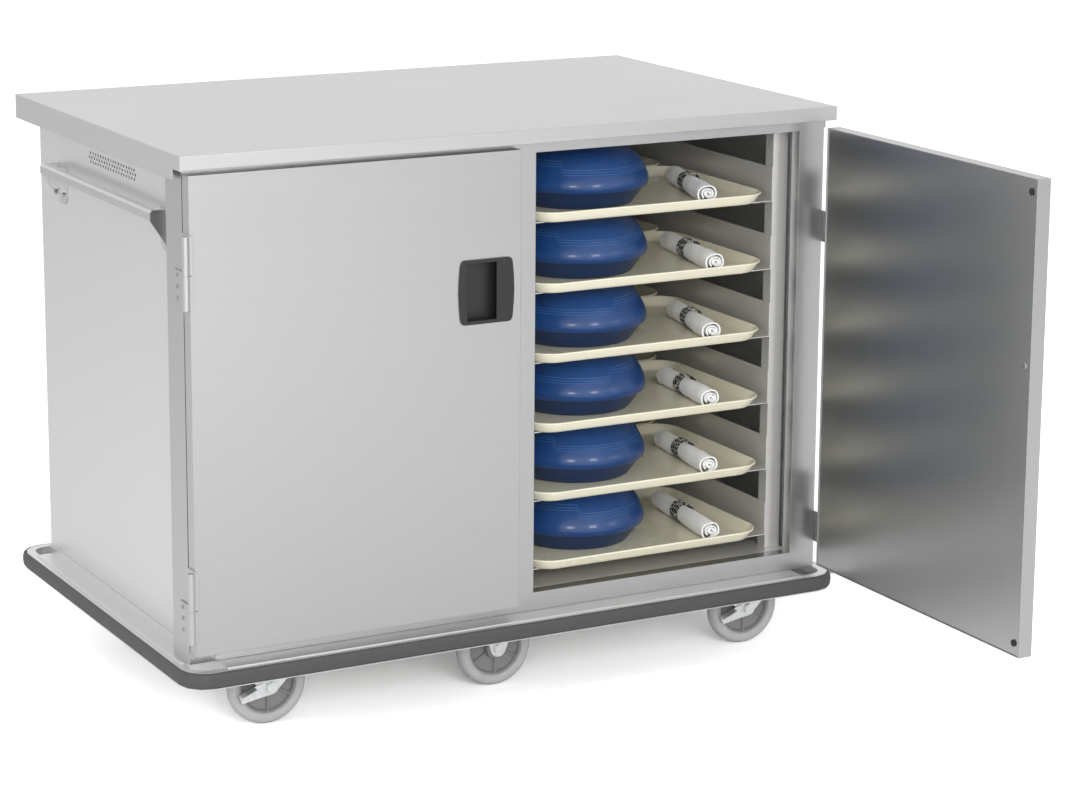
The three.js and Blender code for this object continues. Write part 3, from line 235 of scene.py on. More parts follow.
def settle(piece):
    """Puts the piece's place into its mesh."""
    select_only(piece)
    bpy.ops.object.transform_apply(location=True, rotation=True, scale=True)


def add_modifier(piece, kind, **settings):
    select_only(piece)
    bpy.ops.object.modifier_add(type=kind)
    modifier = piece.modifiers[-1]
    for key, value in settings.items():
        setattr(modifier, key, value)
    bpy.ops.object.modifier_apply(modifier=modifier.name)


def copy_piece(source, name, place=(0, 0, 0), turn=0.0, share=1.0):
    """A copy with its own mesh, cut to a share of its depth, turned about Z and put in place."""
    select_only(source)
    bpy.ops.object.duplicate(linked=False)
    piece = start_piece(name)
    piece.location = place
    piece.rotation_euler = (0, 0, turn)
    piece.scale = (1, share, 1)
    settle(piece)
    return piece


def drop_pattern(piece):
    select_only(piece)
    bpy.ops.object.delete()


def foot_of(node):
    """Middle of a node's underside."""
    low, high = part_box(node)
    return ((low[0] + high[0]) / 2, (low[1] + high[1]) / 2, low[2])


def middle_of(node):
    low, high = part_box(node)
    return tuple((a + b) / 2 for a, b in zip(low, high))


def rings_upward(rings):
    """Raises a round solid from a disc, ring by ring, each a radius and a height."""
    radius, height = rings[0]
    bpy.ops.object.select_all(action="DESELECT")
    bpy.ops.mesh.primitive_circle_add(
        vertices=ROUND_CORNERS, radius=radius, fill_type="NGON", location=(0, 0, height)
    )
    piece = start_piece("round_form")
    settle(piece)
    edit(piece)
    for next_radius, next_height in rings[1:]:
        rise = next_height - height
        bpy.ops.mesh.extrude_region_move(TRANSFORM_OT_translate={"value": (0, 0, rise)})
        share = next_radius / radius
        bpy.ops.transform.resize(value=(share, share, 1), center_override=(0, 0, next_height))
        radius, height = next_radius, next_height
    return piece


# ------------------------------------------------------------------ finishes

class Finish:
    """A material on one Principled shader, with short ways to hang patterns on it."""

    def __init__(self, name, colour, roughness, metallic=0.0):
        self.material = bpy.data.materials.new(name)
        self.material.use_nodes = True
        self.tree = self.material.node_tree
        self.shader = self.tree.nodes["Principled BSDF"]
        self.shader.inputs["Base Color"].default_value = (*colour, 1)
        self.shader.inputs["Roughness"].default_value = roughness
        self.shader.inputs["Metallic"].default_value = metallic
        self.bump_normal = None

    def node(self, kind, **settings):
        node = self.tree.nodes.new(kind)
        for key, value in settings.items():
            setattr(node, key, value)
        return node

    def link(self, source, target):
        self.tree.links.new(source, target)

    def place(self, scale=(1, 1, 1)):
        """Object coordinates, stretched."""
        coordinates = self.node("ShaderNodeTexCoord")
        mapping = self.node("ShaderNodeMapping")
        mapping.inputs["Scale"].default_value = scale
        self.link(coordinates.outputs["Object"], mapping.inputs["Vector"])
        return mapping.outputs["Vector"]

    def noise(self, scale, stretch=(1, 1, 1), detail=3.0, rough=0.5):
        noise = self.node("ShaderNodeTexNoise")
        noise.inputs["Scale"].default_value = scale
        noise.inputs["Detail"].default_value = detail
        noise.inputs["Roughness"].default_value = rough
        self.link(self.place(stretch), noise.inputs["Vector"])
        return noise.outputs["Fac"]

    def spread(self, source, low, high, start=0.3, end=0.7):
        """Maps a pattern to a range of values."""
        spread = self.node("ShaderNodeMapRange")
        spread.inputs["From Min"].default_value = start
        spread.inputs["From Max"].default_value = end
        spread.inputs["To Min"].default_value = low
        spread.inputs["To Max"].default_value = high
        self.link(source, spread.inputs["Value"])
        return spread.outputs["Result"]

    def tint(self, source, colours):
        """Maps a pattern to two colours at given stops."""
        ramp = self.node("ShaderNodeValToRGB")
        for element, (stop, colour) in zip(ramp.color_ramp.elements, colours):
            element.position = stop
            element.color = (*colour, 1)
        self.link(source, ramp.inputs["Fac"])
        return ramp.outputs["Color"]

    def colour_from(self, source):
        self.link(source, self.shader.inputs["Base Color"])

    def roughness_from(self, source):
        self.link(source, self.shader.inputs["Roughness"])

    def bump(self, source, distance, strength):
        bump = self.node("ShaderNodeBump")
        bump.inputs["Distance"].default_value = distance
        bump.inputs["Strength"].default_value = strength
        self.link(source, bump.inputs["Height"])
        if self.bump_normal is not None:
            self.link(self.bump_normal, bump.inputs["Normal"])
        self.bump_normal = bump.outputs["Normal"]
        self.link(self.bump_normal, self.shader.inputs["Normal"])

    def soft_edges(self, radius):
        """Rounds the look of folded edges without touching the solid."""
        bevel = self.node("ShaderNodeBevel", samples=4)
        bevel.inputs["Radius"].default_value = radius
        self.bump_normal = bevel.outputs["Normal"]
        self.link(self.bump_normal, self.shader.inputs["Normal"])


def brushed_steel(name, colour, low, high, grain="X", edge=0.0012, marks=0.02, metal=1.0):
    """Satin sheet steel: fine lines along the grain, faint clouds of handling marks."""
    steel = Finish(name, colour, (low + high) / 2, metal)
    steel.soft_edges(edge)
    stretch = [BRUSH_ALONG if axis == grain else BRUSH_ACROSS for axis in "XYZ"]
    lines = steel.noise(1.0, stretch, 2.0)
    clouds = steel.noise(2.2, (1, 1, 1), 3.0, 0.5)
    blend = steel.node("ShaderNodeMath", operation="ADD")
    steel.link(steel.spread(lines, low, high), blend.inputs[0])
    steel.link(steel.spread(clouds, -marks, marks), blend.inputs[1])
    steel.roughness_from(blend.outputs[0])
    dim = tuple(value * BRUSH_SHADE for value in colour)
    steel.colour_from(steel.tint(lines, ((0.3, dim), (0.7, colour))))
    steel.bump(lines, 0.00001, 0.25)
    return steel.material


def zinc_plate():
    zinc = Finish("bright_zinc", (0.77, 0.78, 0.79), 0.34, 0.85)
    zinc.soft_edges(SMALL_EDGE)
    mottle = zinc.noise(140, (1, 1, 1), 3.0)
    zinc.colour_from(zinc.tint(mottle, ((0.3, (0.70, 0.71, 0.72)), (0.7, (0.83, 0.84, 0.85)))))
    zinc.roughness_from(zinc.spread(mottle, 0.28, 0.46))
    zinc.bump(zinc.noise(900, (1, 1, 1), 2.0), 0.00004, 0.4)
    return zinc.material


def moulded(name, colour, dark, roughness, grain_scale, grain_depth, coat=0.0):
    """Moulded plastic: a fine tooled grain, faint mottling and an optional gloss coat."""
    plastic = Finish(name, colour, roughness)
    plastic.soft_edges(SMALL_EDGE)
    mottle = plastic.noise(7, (1, 1, 1), 2.0, 0.5)
    plastic.colour_from(plastic.tint(mottle, ((0.1, dark), (0.9, colour))))
    plastic.roughness_from(plastic.spread(mottle, roughness - 0.03, roughness + 0.03, 0.1, 0.9))
    plastic.bump(plastic.noise(grain_scale, (1, 1, 1), 2.0), grain_depth, 0.5)
    plastic.shader.inputs["Coat Weight"].default_value = coat
    plastic.shader.inputs["Coat Roughness"].default_value = 0.08
    return plastic.material


def rubber(name, colour, dark):
    """Matt rubber with fine scuffs."""
    skin = Finish(name, colour, 0.62)
    skin.soft_edges(SMALL_EDGE)
    scuffs = skin.noise(60, (1, 1, 4), 6.0, 0.65)
    skin.colour_from(skin.tint(scuffs, ((0.35, dark), (0.75, colour))))
    skin.roughness_from(skin.spread(scuffs, 0.5, 0.74))
    skin.bump(skin.noise(700, (1, 1, 1), 2.0), 0.00008, 0.5)
    return skin.material


def napkin_paper():
    paper = Finish("napkin_paper", (0.93, 0.93, 0.93), 0.9)
    folds_and_shade = paper.noise(70, (1, 0.3, 1), 4.0, 0.6)
    # painted shade: the paper turns darker where the folds' bump sinks
    paper.colour_from(paper.tint(folds_and_shade, ((0.3, (0.86, 0.86, 0.87)), (0.7, (0.95, 0.95, 0.95)))))
    paper.bump(folds_and_shade, 0.0016, 0.6)
    paper.bump(paper.noise(1500, (1, 1, 1), 2.0), 0.00012, 0.5)
    paper.shader.inputs["Sheen Weight"].default_value = 0.2
    return paper.material


def band_paper():
    """Black paper band printed all over with a small pale lattice."""
    band = Finish("band_paper", (0.02, 0.02, 0.02), 0.6)
    cells = band.node("ShaderNodeTexVoronoi", feature="DISTANCE_TO_EDGE")
    cells.inputs["Scale"].default_value = 105
    cells.inputs["Randomness"].default_value = 0.4
    band.link(band.place(), cells.inputs["Vector"])
    band.colour_from(band.tint(
        cells.outputs["Distance"],
        ((0.035, (0.80, 0.80, 0.80)), (0.075, (0.012, 0.012, 0.013))),
    ))
    return band.material


top_steel = brushed_steel("worktop_steel", (0.57, 0.57, 0.572), 0.30, 0.36, edge=0.0028, metal=0.85)
sheet_steel = brushed_steel("sheet_steel", (0.52, 0.52, 0.522), 0.30, 0.36)
# painted light: the side panels take a lighter copy of the sheet steel, standing in for the light on the
# cart's side
side_steel_painted_light = brushed_steel("side_panel_steel_painted_light", (0.68, 0.68, 0.682), 0.30, 0.36, "Y", edge=0.0016, metal=0.85)
handle_steel = brushed_steel("handle_steel", (0.60, 0.60, 0.60), 0.20, 0.26, "Y", edge=SMALL_EDGE)
# painted light: a lighter, warmer and less metallic copy of the steel, standing in for the light inside the
# bay
inner_steel = brushed_steel("inner_steel", (0.72, 0.71, 0.69), 0.31, 0.34, "Y", marks=0.01, metal=0.6)
liner_steel = brushed_steel("door_liner_steel", (0.60, 0.605, 0.61), 0.30, 0.33, "Z", marks=0.01)
door_steel = brushed_steel("open_door_steel", (0.52, 0.52, 0.522), 0.30, 0.38, "Y")
hinge_steel = brushed_steel("hinge_steel", (0.52, 0.52, 0.522), 0.32, 0.38, "Z", edge=0.0008)
# painted shade: a darker copy of the hinge steel for the open door's hinge halves
shaded_hinge_steel = brushed_steel("shaded_hinge_steel", (0.30, 0.30, 0.305), 0.34, 0.40, "Z", edge=0.0008)
chassis_steel = brushed_steel("chassis_steel", (0.70, 0.70, 0.702), 0.34, 0.42, metal=0.85)
caster_zinc = zinc_plate()
pull_plastic = moulded("pull_plastic", (0.016, 0.016, 0.017), (0.013, 0.013, 0.014), 0.40, 900, 0.00004)
tray_fibreglass = moulded(
    "tray_fibreglass", (0.75, 0.72, 0.57), (0.735, 0.705, 0.555), 0.28, 320, 0.00002, coat=0.3
)
dome_plastic = moulded(
    "dome_plastic", (0.008, 0.048, 0.182), (0.007, 0.045, 0.172), 0.34, 420, 0.00002, coat=0.35
)
# painted highlight: the rings are a lighter blue than the cover, standing in for the light they catch
dome_rib_painted_highlight = moulded(
    "dome_rib_painted_highlight", (0.030, 0.110, 0.310), (0.026, 0.100, 0.290), 0.34, 420, 0.00002, coat=0.35
)
dome_base_plastic = moulded(
    "dome_base_plastic", (0.004, 0.026, 0.096), (0.004, 0.024, 0.090), 0.45, 420, 0.00002, coat=0.1
)
bumper_rubber = rubber("bumper_rubber", (0.070, 0.070, 0.072), (0.050, 0.050, 0.052))
tread_rubber = rubber("tread_rubber", (0.42, 0.422, 0.425), (0.36, 0.362, 0.365))
core_plastic = moulded("wheel_core", (0.21, 0.212, 0.215), (0.18, 0.182, 0.185), 0.5, 500, 0.00006)
stud_rubber = rubber("stud_rubber", (0.02, 0.02, 0.021), (0.012, 0.012, 0.013))
roll_paper = napkin_paper()
roll_band = band_paper()
cutlery_black = moulded("cutlery_black", (0.02, 0.02, 0.021), (0.014, 0.014, 0.015), 0.3, 600, 0.00003)


def finish_piece(piece, material):
    piece.data.materials.clear()
    piece.data.materials.append(material)


def finish_node(node, material):
    finish_piece(bpy.data.objects[node], material)


def finish_frame():
    """Gives every CAD node its material, also those that finer pieces replace."""
    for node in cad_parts:
        finish_node(node, sheet_steel)
    finish_node("counter_top", top_steel)
    for side in ("left", "right"):
        finish_node(f"side_panel_{side}", side_steel_painted_light)
        finish_node(f"push_handle_{side}", handle_steel)
    for node in ("ceiling_panel", "floor_pan", "back_panel"):
        finish_node(node, inner_steel)
    for node in ("tray_rack_left", "tray_rack_right", "centre_rack"):
        finish_node(node, inner_steel)
    finish_node("chassis", chassis_steel)
    finish_node("bumper", bumper_rubber)
    finish_node("right_door_pan", door_steel)
    for side in ("left", "right"):
        finish_node(f"{side}_door_liner", liner_steel)
        finish_node(f"{side}_door_pull", pull_plastic)
        # the right door's hinge halves take the darker copy, painted shade
        half = hinge_steel if side == "left" else shaded_hinge_steel
        for level in ("lower", "upper"):
            finish_node(f"{side}_{level}_frame_hinge", half)
    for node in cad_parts:
        if "caster" in node or "brake" in node:
            finish_node(node, caster_zinc)


# ------------------------------------------------------------------ meal domes

def cover_radius(height):
    """Outer radius of the cover at a height."""
    for (r0, z0), (r1, z1) in zip(COVER_PROFILE[1:], COVER_PROFILE[2:]):
        if z0 <= height <= z1:
            return r0 + (r1 - r0) * (height - z0) / (z1 - z0)
    return 0.0


def model_ring(height):
    """One raised line round the cover, half sunk, that climbs a step on two opposite quarters."""
    radius = cover_radius(height)
    bpy.ops.object.select_all(action="DESELECT")
    bpy.ops.mesh.primitive_circle_add(
        vertices=RING_CORNERS, radius=radius, fill_type="NOTHING", location=(0, 0, height)
    )
    ring = start_piece("ring")
    settle(ring)
    edit(ring)
    pick(ring, "VERT", lambda place, normal: abs(place.x) > abs(place.y))
    share = cover_radius(height + RING_STEP) / radius
    bpy.ops.transform.translate(value=(0, 0, RING_STEP))
    bpy.ops.transform.resize(value=(share, share, 1), center_override=(0, 0, height))
    bpy.ops.object.mode_set(mode="OBJECT")
    bpy.ops.object.convert(target="CURVE")
    ring.data.bevel_depth = RING_THICKNESS / 2
    ring.data.bevel_resolution = 1
    bpy.ops.object.convert(target="MESH")
    return bpy.context.active_object


def model_dome():
    """Insulated cover on its base, foot at the origin, with three fine stepped rings."""
    base = rings_upward(BASE_PROFILE)
    tidy_mesh(base)
    base.name = "dome_base_pattern"
    finish_piece(base, dome_base_plastic)
    cover = rings_upward(COVER_PROFILE)
    tidy_mesh(cover)
    cover.name = "dome_cover_pattern"
    finish_piece(cover, dome_plastic)
    for height in RING_HEIGHTS:
        ring = model_ring(height)
        # painted highlight: each ring takes the lighter blue
        finish_piece(ring, dome_rib_painted_highlight)
        cover.select_set(True)
        bpy.context.view_layer.objects.active = cover
        bpy.ops.object.join()
    return base, cover


def lay_domes():
    base, cover = model_dome()
    for level in LEVELS:
        place = foot_of(f"meal_dome_{level}")
        turn = math.radians(DOME_TURNS[level]) + CAMERA_SIDE
        dish = copy_piece(base, f"dome_base_{level}", place)
        lid = copy_piece(cover, f"dome_cover_{level}", place, turn)
        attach(dish, f"tray_{level}")
        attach(lid, f"tray_{level}")
        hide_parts(f"meal_dome_{level}")
    drop_pattern(base)
    drop_pattern(cover)


# ------------------------------------------------------------------ trays

def model_tray():
    """Moulded tray, its middle at the origin and its underside at zero height."""
    rim = TRAY_HEIGHT - TRAY_CROWN
    bpy.ops.object.select_all(action="DESELECT")
    bpy.ops.mesh.primitive_plane_add(size=1, location=(0, 0, rim))
    piece = start_piece("tray_pattern")
    piece.scale = (TRAY_LENGTH, TRAY_WIDTH, 1)
    settle(piece)
    edit(piece)
    bpy.ops.mesh.bevel(offset=TRAY_CORNER, segments=12, affect="VERTICES")
    for width, rise in TRAY_STEPS:
        bpy.ops.mesh.inset(thickness=width, depth=rise, use_boundary=True)
    pick(piece, "EDGE", lambda middle, along: is_rim(middle, rim))
    bpy.ops.mesh.extrude_region_move(TRANSFORM_OT_translate={"value": (0, 0, -TRAY_EDGE)})
    bpy.ops.mesh.select_all(action="SELECT")
    bpy.ops.mesh.normals_make_consistent(inside=False)
    bpy.ops.object.mode_set(mode="OBJECT")
    add_modifier(piece, "SOLIDIFY", thickness=TRAY_SHEET, offset=-1.0, use_even_offset=True)
    edit(piece)
    tidy_mesh(piece, recalculate=False)
    finish_piece(piece, tray_fibreglass)
    return piece


def is_rim(middle, rim):
    """True on the outer edge of the tray's first outline."""
    near_x = abs(abs(middle.x) - TRAY_LENGTH / 2) < 0.0002
    near_y = abs(abs(middle.y) - TRAY_WIDTH / 2) < 0.0002
    out_x = abs(middle.x) - (TRAY_LENGTH / 2 - TRAY_CORNER)
    out_y = abs(middle.y) - (TRAY_WIDTH / 2 - TRAY_CORNER)
    in_corner = out_x > 0 and out_y > 0
    on_corner = in_corner and abs(math.hypot(out_x, out_y) - TRAY_CORNER) < 0.0005
    return abs(middle.z - rim) < 0.0001 and (near_x or near_y or on_corner)


def lay_trays():
    pattern = model_tray()
    for level in LEVELS:
        place = foot_of(f"tray_{level}")
        front = copy_piece(pattern, f"fine_tray_{level}", place)
        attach(front, f"tray_{level}")
        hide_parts(f"tray_{level}")
        behind = (place[0], place[1] + BACK_ROW_SHIFT, place[2])
        back = copy_piece(pattern, f"back_tray_{level}", behind)
        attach(back, "cabinet")
    drop_pattern(pattern)


# ------------------------------------------------------------------ napkin rolls

def model_napkin():
    """Rolled napkin lying along Y, underside at zero height, with its band and cutlery end."""
    roll = model_roll()

    bpy.ops.object.select_all(action="DESELECT")
    bpy.ops.mesh.primitive_cylinder_add(
        vertices=48, radius=NAPKIN_RADIUS * BAND_RADIUS, depth=BAND_WIDTH, end_fill_type="NOTHING",
        location=(0, BAND_PLACE, NAPKIN_RADIUS * BAND_HEIGHT), rotation=(math.pi / 2, 0, 0),
    )
    band = start_piece("band_pattern")
    settle(band)
    add_modifier(band, "SOLIDIFY", thickness=BAND_SHEET, offset=1.0)
    edit(band)
    tidy_mesh(band)
    finish_piece(band, roll_band)

    sideways, inward, up = CUTLERY_PLACE
    bpy.ops.object.select_all(action="DESELECT")
    bpy.ops.mesh.primitive_cube_add(size=1, location=(sideways, -NAPKIN_LENGTH / 2 + inward, up))
    end = start_piece("cutlery_pattern")
    end.scale = CUTLERY_SIZE
    settle(end)
    edit(end)
    bpy.ops.mesh.bevel(offset=CUTLERY_EDGE, segments=3, affect="EDGES")
    tidy_mesh(end)
    finish_piece(end, cutlery_black)
    return roll, band, end


def model_roll():
    """Napkin wound up from its inner edge, turn by turn, then given the thickness of its plies."""
    growth = (NAPKIN_RADIUS / ROLL_CORE) ** (1 / ROLL_STEPS)
    bpy.ops.object.select_all(action="DESELECT")
    bpy.ops.mesh.primitive_grid_add(x_subdivisions=1, y_subdivisions=ROLL_FACES, size=1)
    roll = start_piece("napkin_pattern")
    roll.scale = (ROLL_CORE * 2, NAPKIN_LENGTH, 1)
    settle(roll)
    edit(roll)
    pick(roll, "VERT", lambda place, normal: place.x < 0)
    bpy.ops.mesh.delete(type="VERT")
    bpy.ops.mesh.select_all(action="SELECT")
    for _ in range(ROLL_STEPS):
        bpy.ops.mesh.extrude_region_move()
        bpy.ops.transform.rotate(value=ROLL_ANGLE, orient_axis="Y", center_override=(0, 0, 0))
        bpy.ops.transform.resize(value=(growth, 1, growth), center_override=(0, 0, 0))
    bpy.ops.mesh.select_all(action="SELECT")
    bpy.ops.mesh.normals_make_consistent(inside=False)
    bpy.ops.object.mode_set(mode="OBJECT")
    add_modifier(roll, "SOLIDIFY", thickness=ROLL_SHEET, offset=0.0)
    swell_roll(roll)
    edit(roll)
    tidy_mesh(roll, angle=50, recalculate=False)
    finish_piece(roll, roll_paper)
    return roll


def swell_roll(roll):
    """Draws the roll in under its band and lets the paper swell and wrinkle beside it."""
    for corner in roll.data.vertices:
        along = corner.co.y
        around = math.atan2(corner.co.z, corner.co.x)
        squeeze = BAND_SQUEEZE * math.exp(-((along - BAND_PLACE) / SQUEEZE_REACH) ** 2)
        away = 1 - math.exp(-((along - BAND_PLACE) / WAVE_REACH) ** 2)
        wave = sum(size * math.sin(along * rate + turns * around) for size, rate, turns in ROLL_WAVES)
        flare = ROLL_FLARE * max(0.0, -along / NAPKIN_LENGTH * 2)
        swell = 1.0 - squeeze + wave * away + flare
        corner.co.x *= swell * ROLL_WIDEN
        corner.co.y += ROLL_RAGGED * math.sin(3 * around) * (2 * along / NAPKIN_LENGTH) ** 4
        height = NAPKIN_RADIUS * ROLL_SINK + corner.co.z * swell * ROLL_FLATTEN
        corner.co.z = max(height, ROLL_LOWEST)


def lay_napkins():
    roll, band, end = model_napkin()
    for level in LEVELS:
        foot = foot_of(f"napkin_roll_{level}")
        turn = -math.radians(NAPKIN_TURNS[level])
        share = NAPKIN_SHARES[level]
        forward = (1 - share) * NAPKIN_LENGTH / 2
        place = (
            foot[0] + forward * math.sin(turn),
            foot[1] - forward * math.cos(turn),
            foot[2],
        )
        napkin = copy_piece(roll, f"rolled_napkin_{level}", place, turn, share)
        wrap = copy_piece(band, f"napkin_band_{level}", place, turn, share)
        tip = copy_piece(end, f"cutlery_end_{level}", place, turn, share)
        for piece in (napkin, wrap, tip):
            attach(piece, f"tray_{level}")
        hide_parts(f"napkin_roll_{level}")
    for piece in (roll, band, end):
        drop_pattern(piece)


# ------------------------------------------------------------------ wheels

def model_tread():
    """Crowned rubber ring round the Y axis, hollowed for the core."""
    bpy.ops.object.select_all(action="DESELECT")
    bpy.ops.mesh.primitive_cylinder_add(
        vertices=ROUND_CORNERS, radius=WHEEL_RADIUS - TREAD_CROWN, depth=TREAD_WIDTH, end_fill_type="NGON",
        rotation=(math.pi / 2, 0, 0),
    )
    tread = start_piece("tread_pattern")
    settle(tread)
    edit(tread)
    pick(tread, "FACE", lambda middle, normal: abs(normal.y) > 0.9)
    for width, depth in TREAD_STEPS:
        bpy.ops.mesh.inset(thickness=width, depth=depth, use_individual=True)
    bpy.ops.mesh.delete(type="FACE")
    outside = WHEEL_RADIUS - TREAD_CROWN - TREAD_SLACK
    pick(tread, "FACE", lambda middle, normal: math.hypot(middle.x, middle.z) > outside)
    for rise in CROWN_RISES:
        bpy.ops.mesh.inset(thickness=CROWN_INSET, depth=rise, use_individual=False)
    pick(tread, "EDGE", lambda middle, along: is_tread_hole(middle))
    bpy.ops.mesh.bridge_edge_loops()
    tidy_mesh(tread, angle=45)
    finish_piece(tread, tread_rubber)
    return tread


def is_tread_hole(middle):
    return math.hypot(middle.x, middle.z) < WHEEL_RADIUS - TREAD_CROWN - TREAD_SIDE


def model_core():
    """Recessed web with a hub and six ribs on each side."""
    bpy.ops.object.select_all(action="DESELECT")
    bpy.ops.mesh.primitive_cylinder_add(
        vertices=ROUND_CORNERS, radius=CORE_RADIUS, depth=CORE_WIDTH, end_fill_type="NGON",
        rotation=(math.pi / 2, 0, 0),
    )
    core = start_piece("core_pattern")
    settle(core)
    edit(core)
    pick(core, "FACE", lambda middle, normal: abs(normal.y) > 0.9)
    for width, depth in CORE_STEPS:
        bpy.ops.mesh.inset(thickness=width, depth=depth, use_individual=True)
    bpy.ops.object.mode_set(mode="OBJECT")
    for number in range(RIBS):
        bpy.ops.object.select_all(action="DESELECT")
        bpy.ops.mesh.primitive_cube_add(size=1, location=(0, 0, RIB_REACH))
        rib = start_piece("rib")
        rib.scale = RIB_SIZE
        settle(rib)
        edit(rib)
        bpy.ops.mesh.bevel(offset=RIB_EDGE, segments=2, affect="EDGES")
        bpy.ops.object.mode_set(mode="OBJECT")
        rib.rotation_euler = (0, number * math.tau / RIBS, 0)
        settle(rib)
        core.select_set(True)
        bpy.context.view_layer.objects.active = core
        bpy.ops.object.join()
    edit(core)
    tidy_mesh(core)
    finish_piece(core, core_plastic)
    return core


def fit_wheels():
    tread = model_tread()
    core = model_core()
    for node in WHEELS:
        place = middle_of(node)
        tyre = copy_piece(tread, node.replace("wheel", "tread"), place)
        heart = copy_piece(core, node.replace("wheel", "core"), place)
        for piece in (tyre, heart):
            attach(piece, node)
        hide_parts(node)
    drop_pattern(tread)
    drop_pattern(core)


# ------------------------------------------------------------------ bumper

def wrap_bumper():
    """Rubber bumper with a crowned face and round corners, over the CAD one."""
    low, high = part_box("bumper")
    bpy.ops.object.select_all(action="DESELECT")
    bpy.ops.mesh.primitive_plane_add(size=1)
    band = start_piece("rubber_bumper")
    band.scale = (high[0] - low[0], high[1] - low[1], 1)
    settle(band)
    edit(band)
    bpy.ops.mesh.bevel(offset=BUMPER_CORNER, segments=BUMPER_SEGMENTS, affect="VERTICES")
    for inward, rise in BUMPER_STEPS:
        bpy.ops.mesh.inset(thickness=inward, depth=rise, use_boundary=True)
    bpy.ops.mesh.delete(type="FACE")
    bpy.ops.object.mode_set(mode="OBJECT")
    add_modifier(band, "MIRROR", use_axis=(False, False, True), merge_threshold=WELD_REACH)
    edit(band, "DESELECT")
    bpy.ops.mesh.select_mode(type="EDGE")
    bpy.ops.mesh.select_non_manifold()
    bpy.ops.mesh.bridge_edge_loops()
    tidy_mesh(band)
    band.location = middle_of("bumper")
    settle(band)
    finish_piece(band, bumper_rubber)
    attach(band, "cabinet")
    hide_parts("bumper")


# ------------------------------------------------------------------ small parts of the doors

def add_button(name, place, axis, radius, height, material, body):
    """A low round button with soft edges, its seat at the place and its face along the axis."""
    bpy.ops.object.select_all(action="DESELECT")
    bpy.ops.mesh.primitive_cylinder_add(
        vertices=32, radius=radius, depth=height, location=(0, 0, height / 2)
    )
    button = start_piece(name)
    settle(button)
    edit(button)
    pick(button, "FACE", lambda middle, normal: normal.z > 0.9)
    bpy.ops.mesh.inset(thickness=radius * 0.22, depth=height * 0.18)
    bpy.ops.mesh.inset(thickness=radius * 0.30, depth=height * 0.06)
    tidy_mesh(button, angle=30)
    button.rotation_euler = Vector((0, 0, 1)).rotation_difference(Vector(axis)).to_euler()
    button.location = place
    settle(button)
    finish_piece(button, material)
    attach(button, body)


def fit_buffers(side, place, axis):
    """Two rubber buffers on a liner, near its top and bottom; the place is seen from above."""
    low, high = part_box(f"{side}_door_liner")
    for level, height in (("upper", high[2] - BUFFER_FROM_END), ("lower", low[2] + BUFFER_FROM_END)):
        add_button(
            f"{side}_{level}_buffer", (*place, height), axis, BUFFER_RADIUS, BUFFER_HEIGHT, stud_rubber,
            f"{side}_door",
        )


def fit_door_buttons():
    """Rubber buffers near the free edge of each liner, and a catch plate on the right one."""
    low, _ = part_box("right_door_liner")
    fit_buffers("right", (low[0], low[1] + BUFFER_IN), (-1, 0, 0))
    add_button(
        "right_catch_plate", (low[0], low[1] + CATCH_IN, CATCH_LEVEL), (-1, 0, 0),
        CATCH_RADIUS, CATCH_HEIGHT, hinge_steel, "right_door",
    )
    _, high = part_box("left_door_liner")
    fit_buffers("left", (high[0] - BUFFER_IN, high[1]), (0, 1, 0))


# ------------------------------------------------------------------ studio

def lay_floor():
    """White floor, brighter to the camera than to the steel, that keeps the cart's shadow."""
    bpy.ops.object.select_all(action="DESELECT")
    bpy.ops.mesh.primitive_plane_add(size=FLOOR_SIZE, location=(0, 0, 0))
    floor = start_piece("studio_floor")
    settle(floor)
    paint = Finish("floor_paint", (0.86, 0.86, 0.86), 0.9)
    speckle = paint.noise(3, (1, 1, 1), 2.0)
    paint.colour_from(paint.tint(speckle, ((0.3, (0.85, 0.85, 0.85)), (0.7, (0.87, 0.87, 0.87)))))
    bright = paint.node("ShaderNodeBsdfDiffuse")
    bright.inputs["Color"].default_value = (FLOOR_GAIN, FLOOR_GAIN, FLOOR_GAIN, 1)
    seen = paint.node("ShaderNodeLightPath")
    blend = paint.node("ShaderNodeMixShader")
    paint.link(seen.outputs["Is Camera Ray"], blend.inputs["Fac"])
    paint.link(paint.shader.outputs["BSDF"], blend.inputs[1])
    paint.link(bright.outputs["BSDF"], blend.inputs[2])
    paint.link(blend.outputs["Shader"], paint.tree.nodes["Material Output"].inputs["Surface"])
    finish_piece(floor, paint.material)


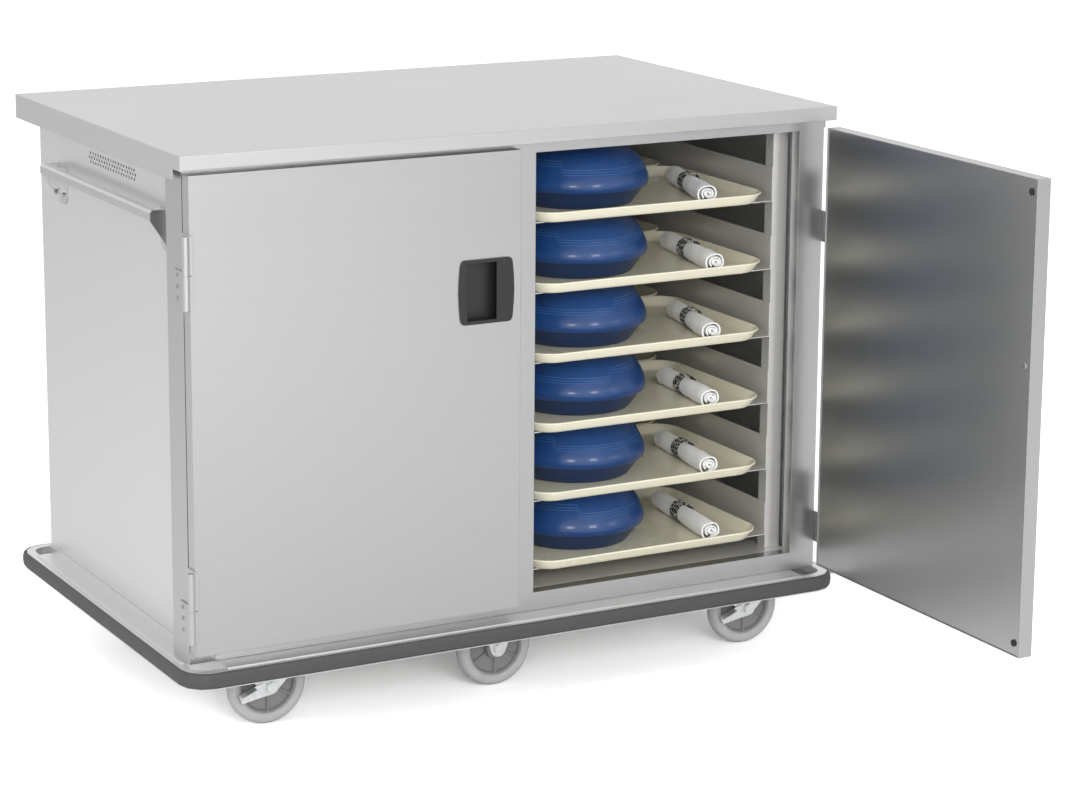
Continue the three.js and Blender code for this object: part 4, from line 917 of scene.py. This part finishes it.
def hang_lamps():
    for name, place, size, power, target, mirrored in LAMPS:
        bpy.ops.object.light_add(type="AREA", location=place)
        lamp = bpy.context.active_object
        lamp.name = name
        lamp.data.shape = "SQUARE"
        lamp.data.size = size
        lamp.data.energy = power
        lamp.visible_glossy = mirrored
        aim = Vector(target) - Vector(place)
        lamp.rotation_euler = aim.to_track_quat("-Z", "Y").to_euler()


def add_air(tree, strength):
    air = tree.nodes.new("ShaderNodeBackground")
    air.inputs["Color"].default_value = (1, 1, 1, 1)
    air.inputs["Strength"].default_value = strength
    return air


def fill_air():
    """White surround for the camera and for mirrors, a dimmer one for what lights the cart."""
    world = bpy.data.worlds.new("studio_air")
    bpy.context.scene.world = world
    world.use_nodes = True
    tree = world.node_tree
    tree.nodes.clear()
    paths = tree.nodes.new("ShaderNodeLightPath")
    seen = add_air(tree, 1.0)
    around = add_air(tree, AIR_STRENGTH)
    choose = tree.nodes.new("ShaderNodeMixShader")
    out = tree.nodes.new("ShaderNodeOutputWorld")
    either = tree.nodes.new("ShaderNodeMath")
    either.operation = "MAXIMUM"
    tree.links.new(paths.outputs["Is Camera Ray"], either.inputs[0])
    tree.links.new(paths.outputs["Is Glossy Ray"], either.inputs[1])
    tree.links.new(either.outputs[0], choose.inputs["Fac"])
    tree.links.new(around.outputs["Background"], choose.inputs[1])
    tree.links.new(seen.outputs["Background"], choose.inputs[2])
    tree.links.new(choose.outputs["Shader"], out.inputs["Surface"])


def place_camera():
    bpy.ops.object.camera_add(location=CAMERA_PLACE)
    camera = bpy.context.active_object
    camera.name = "photo_camera"
    camera.rotation_euler = tuple(math.radians(angle) for angle in CAMERA_TURN)
    camera.data.lens = CAMERA_LENS
    camera.data.sensor_width = CAMERA_SENSOR
    camera.data.sensor_fit = "HORIZONTAL"
    camera.data.shift_y = CAMERA_SHIFT
    camera.data.clip_end = CAMERA_REACH
    bpy.context.scene.camera = camera
    bpy.context.scene.view_settings.view_transform = "Standard"


place_camera()
finish_frame()
lay_domes()
lay_trays()
lay_napkins()
fit_wheels()
wrap_bumper()
fit_door_buttons()
lay_floor()
hang_lamps()
fill_air()
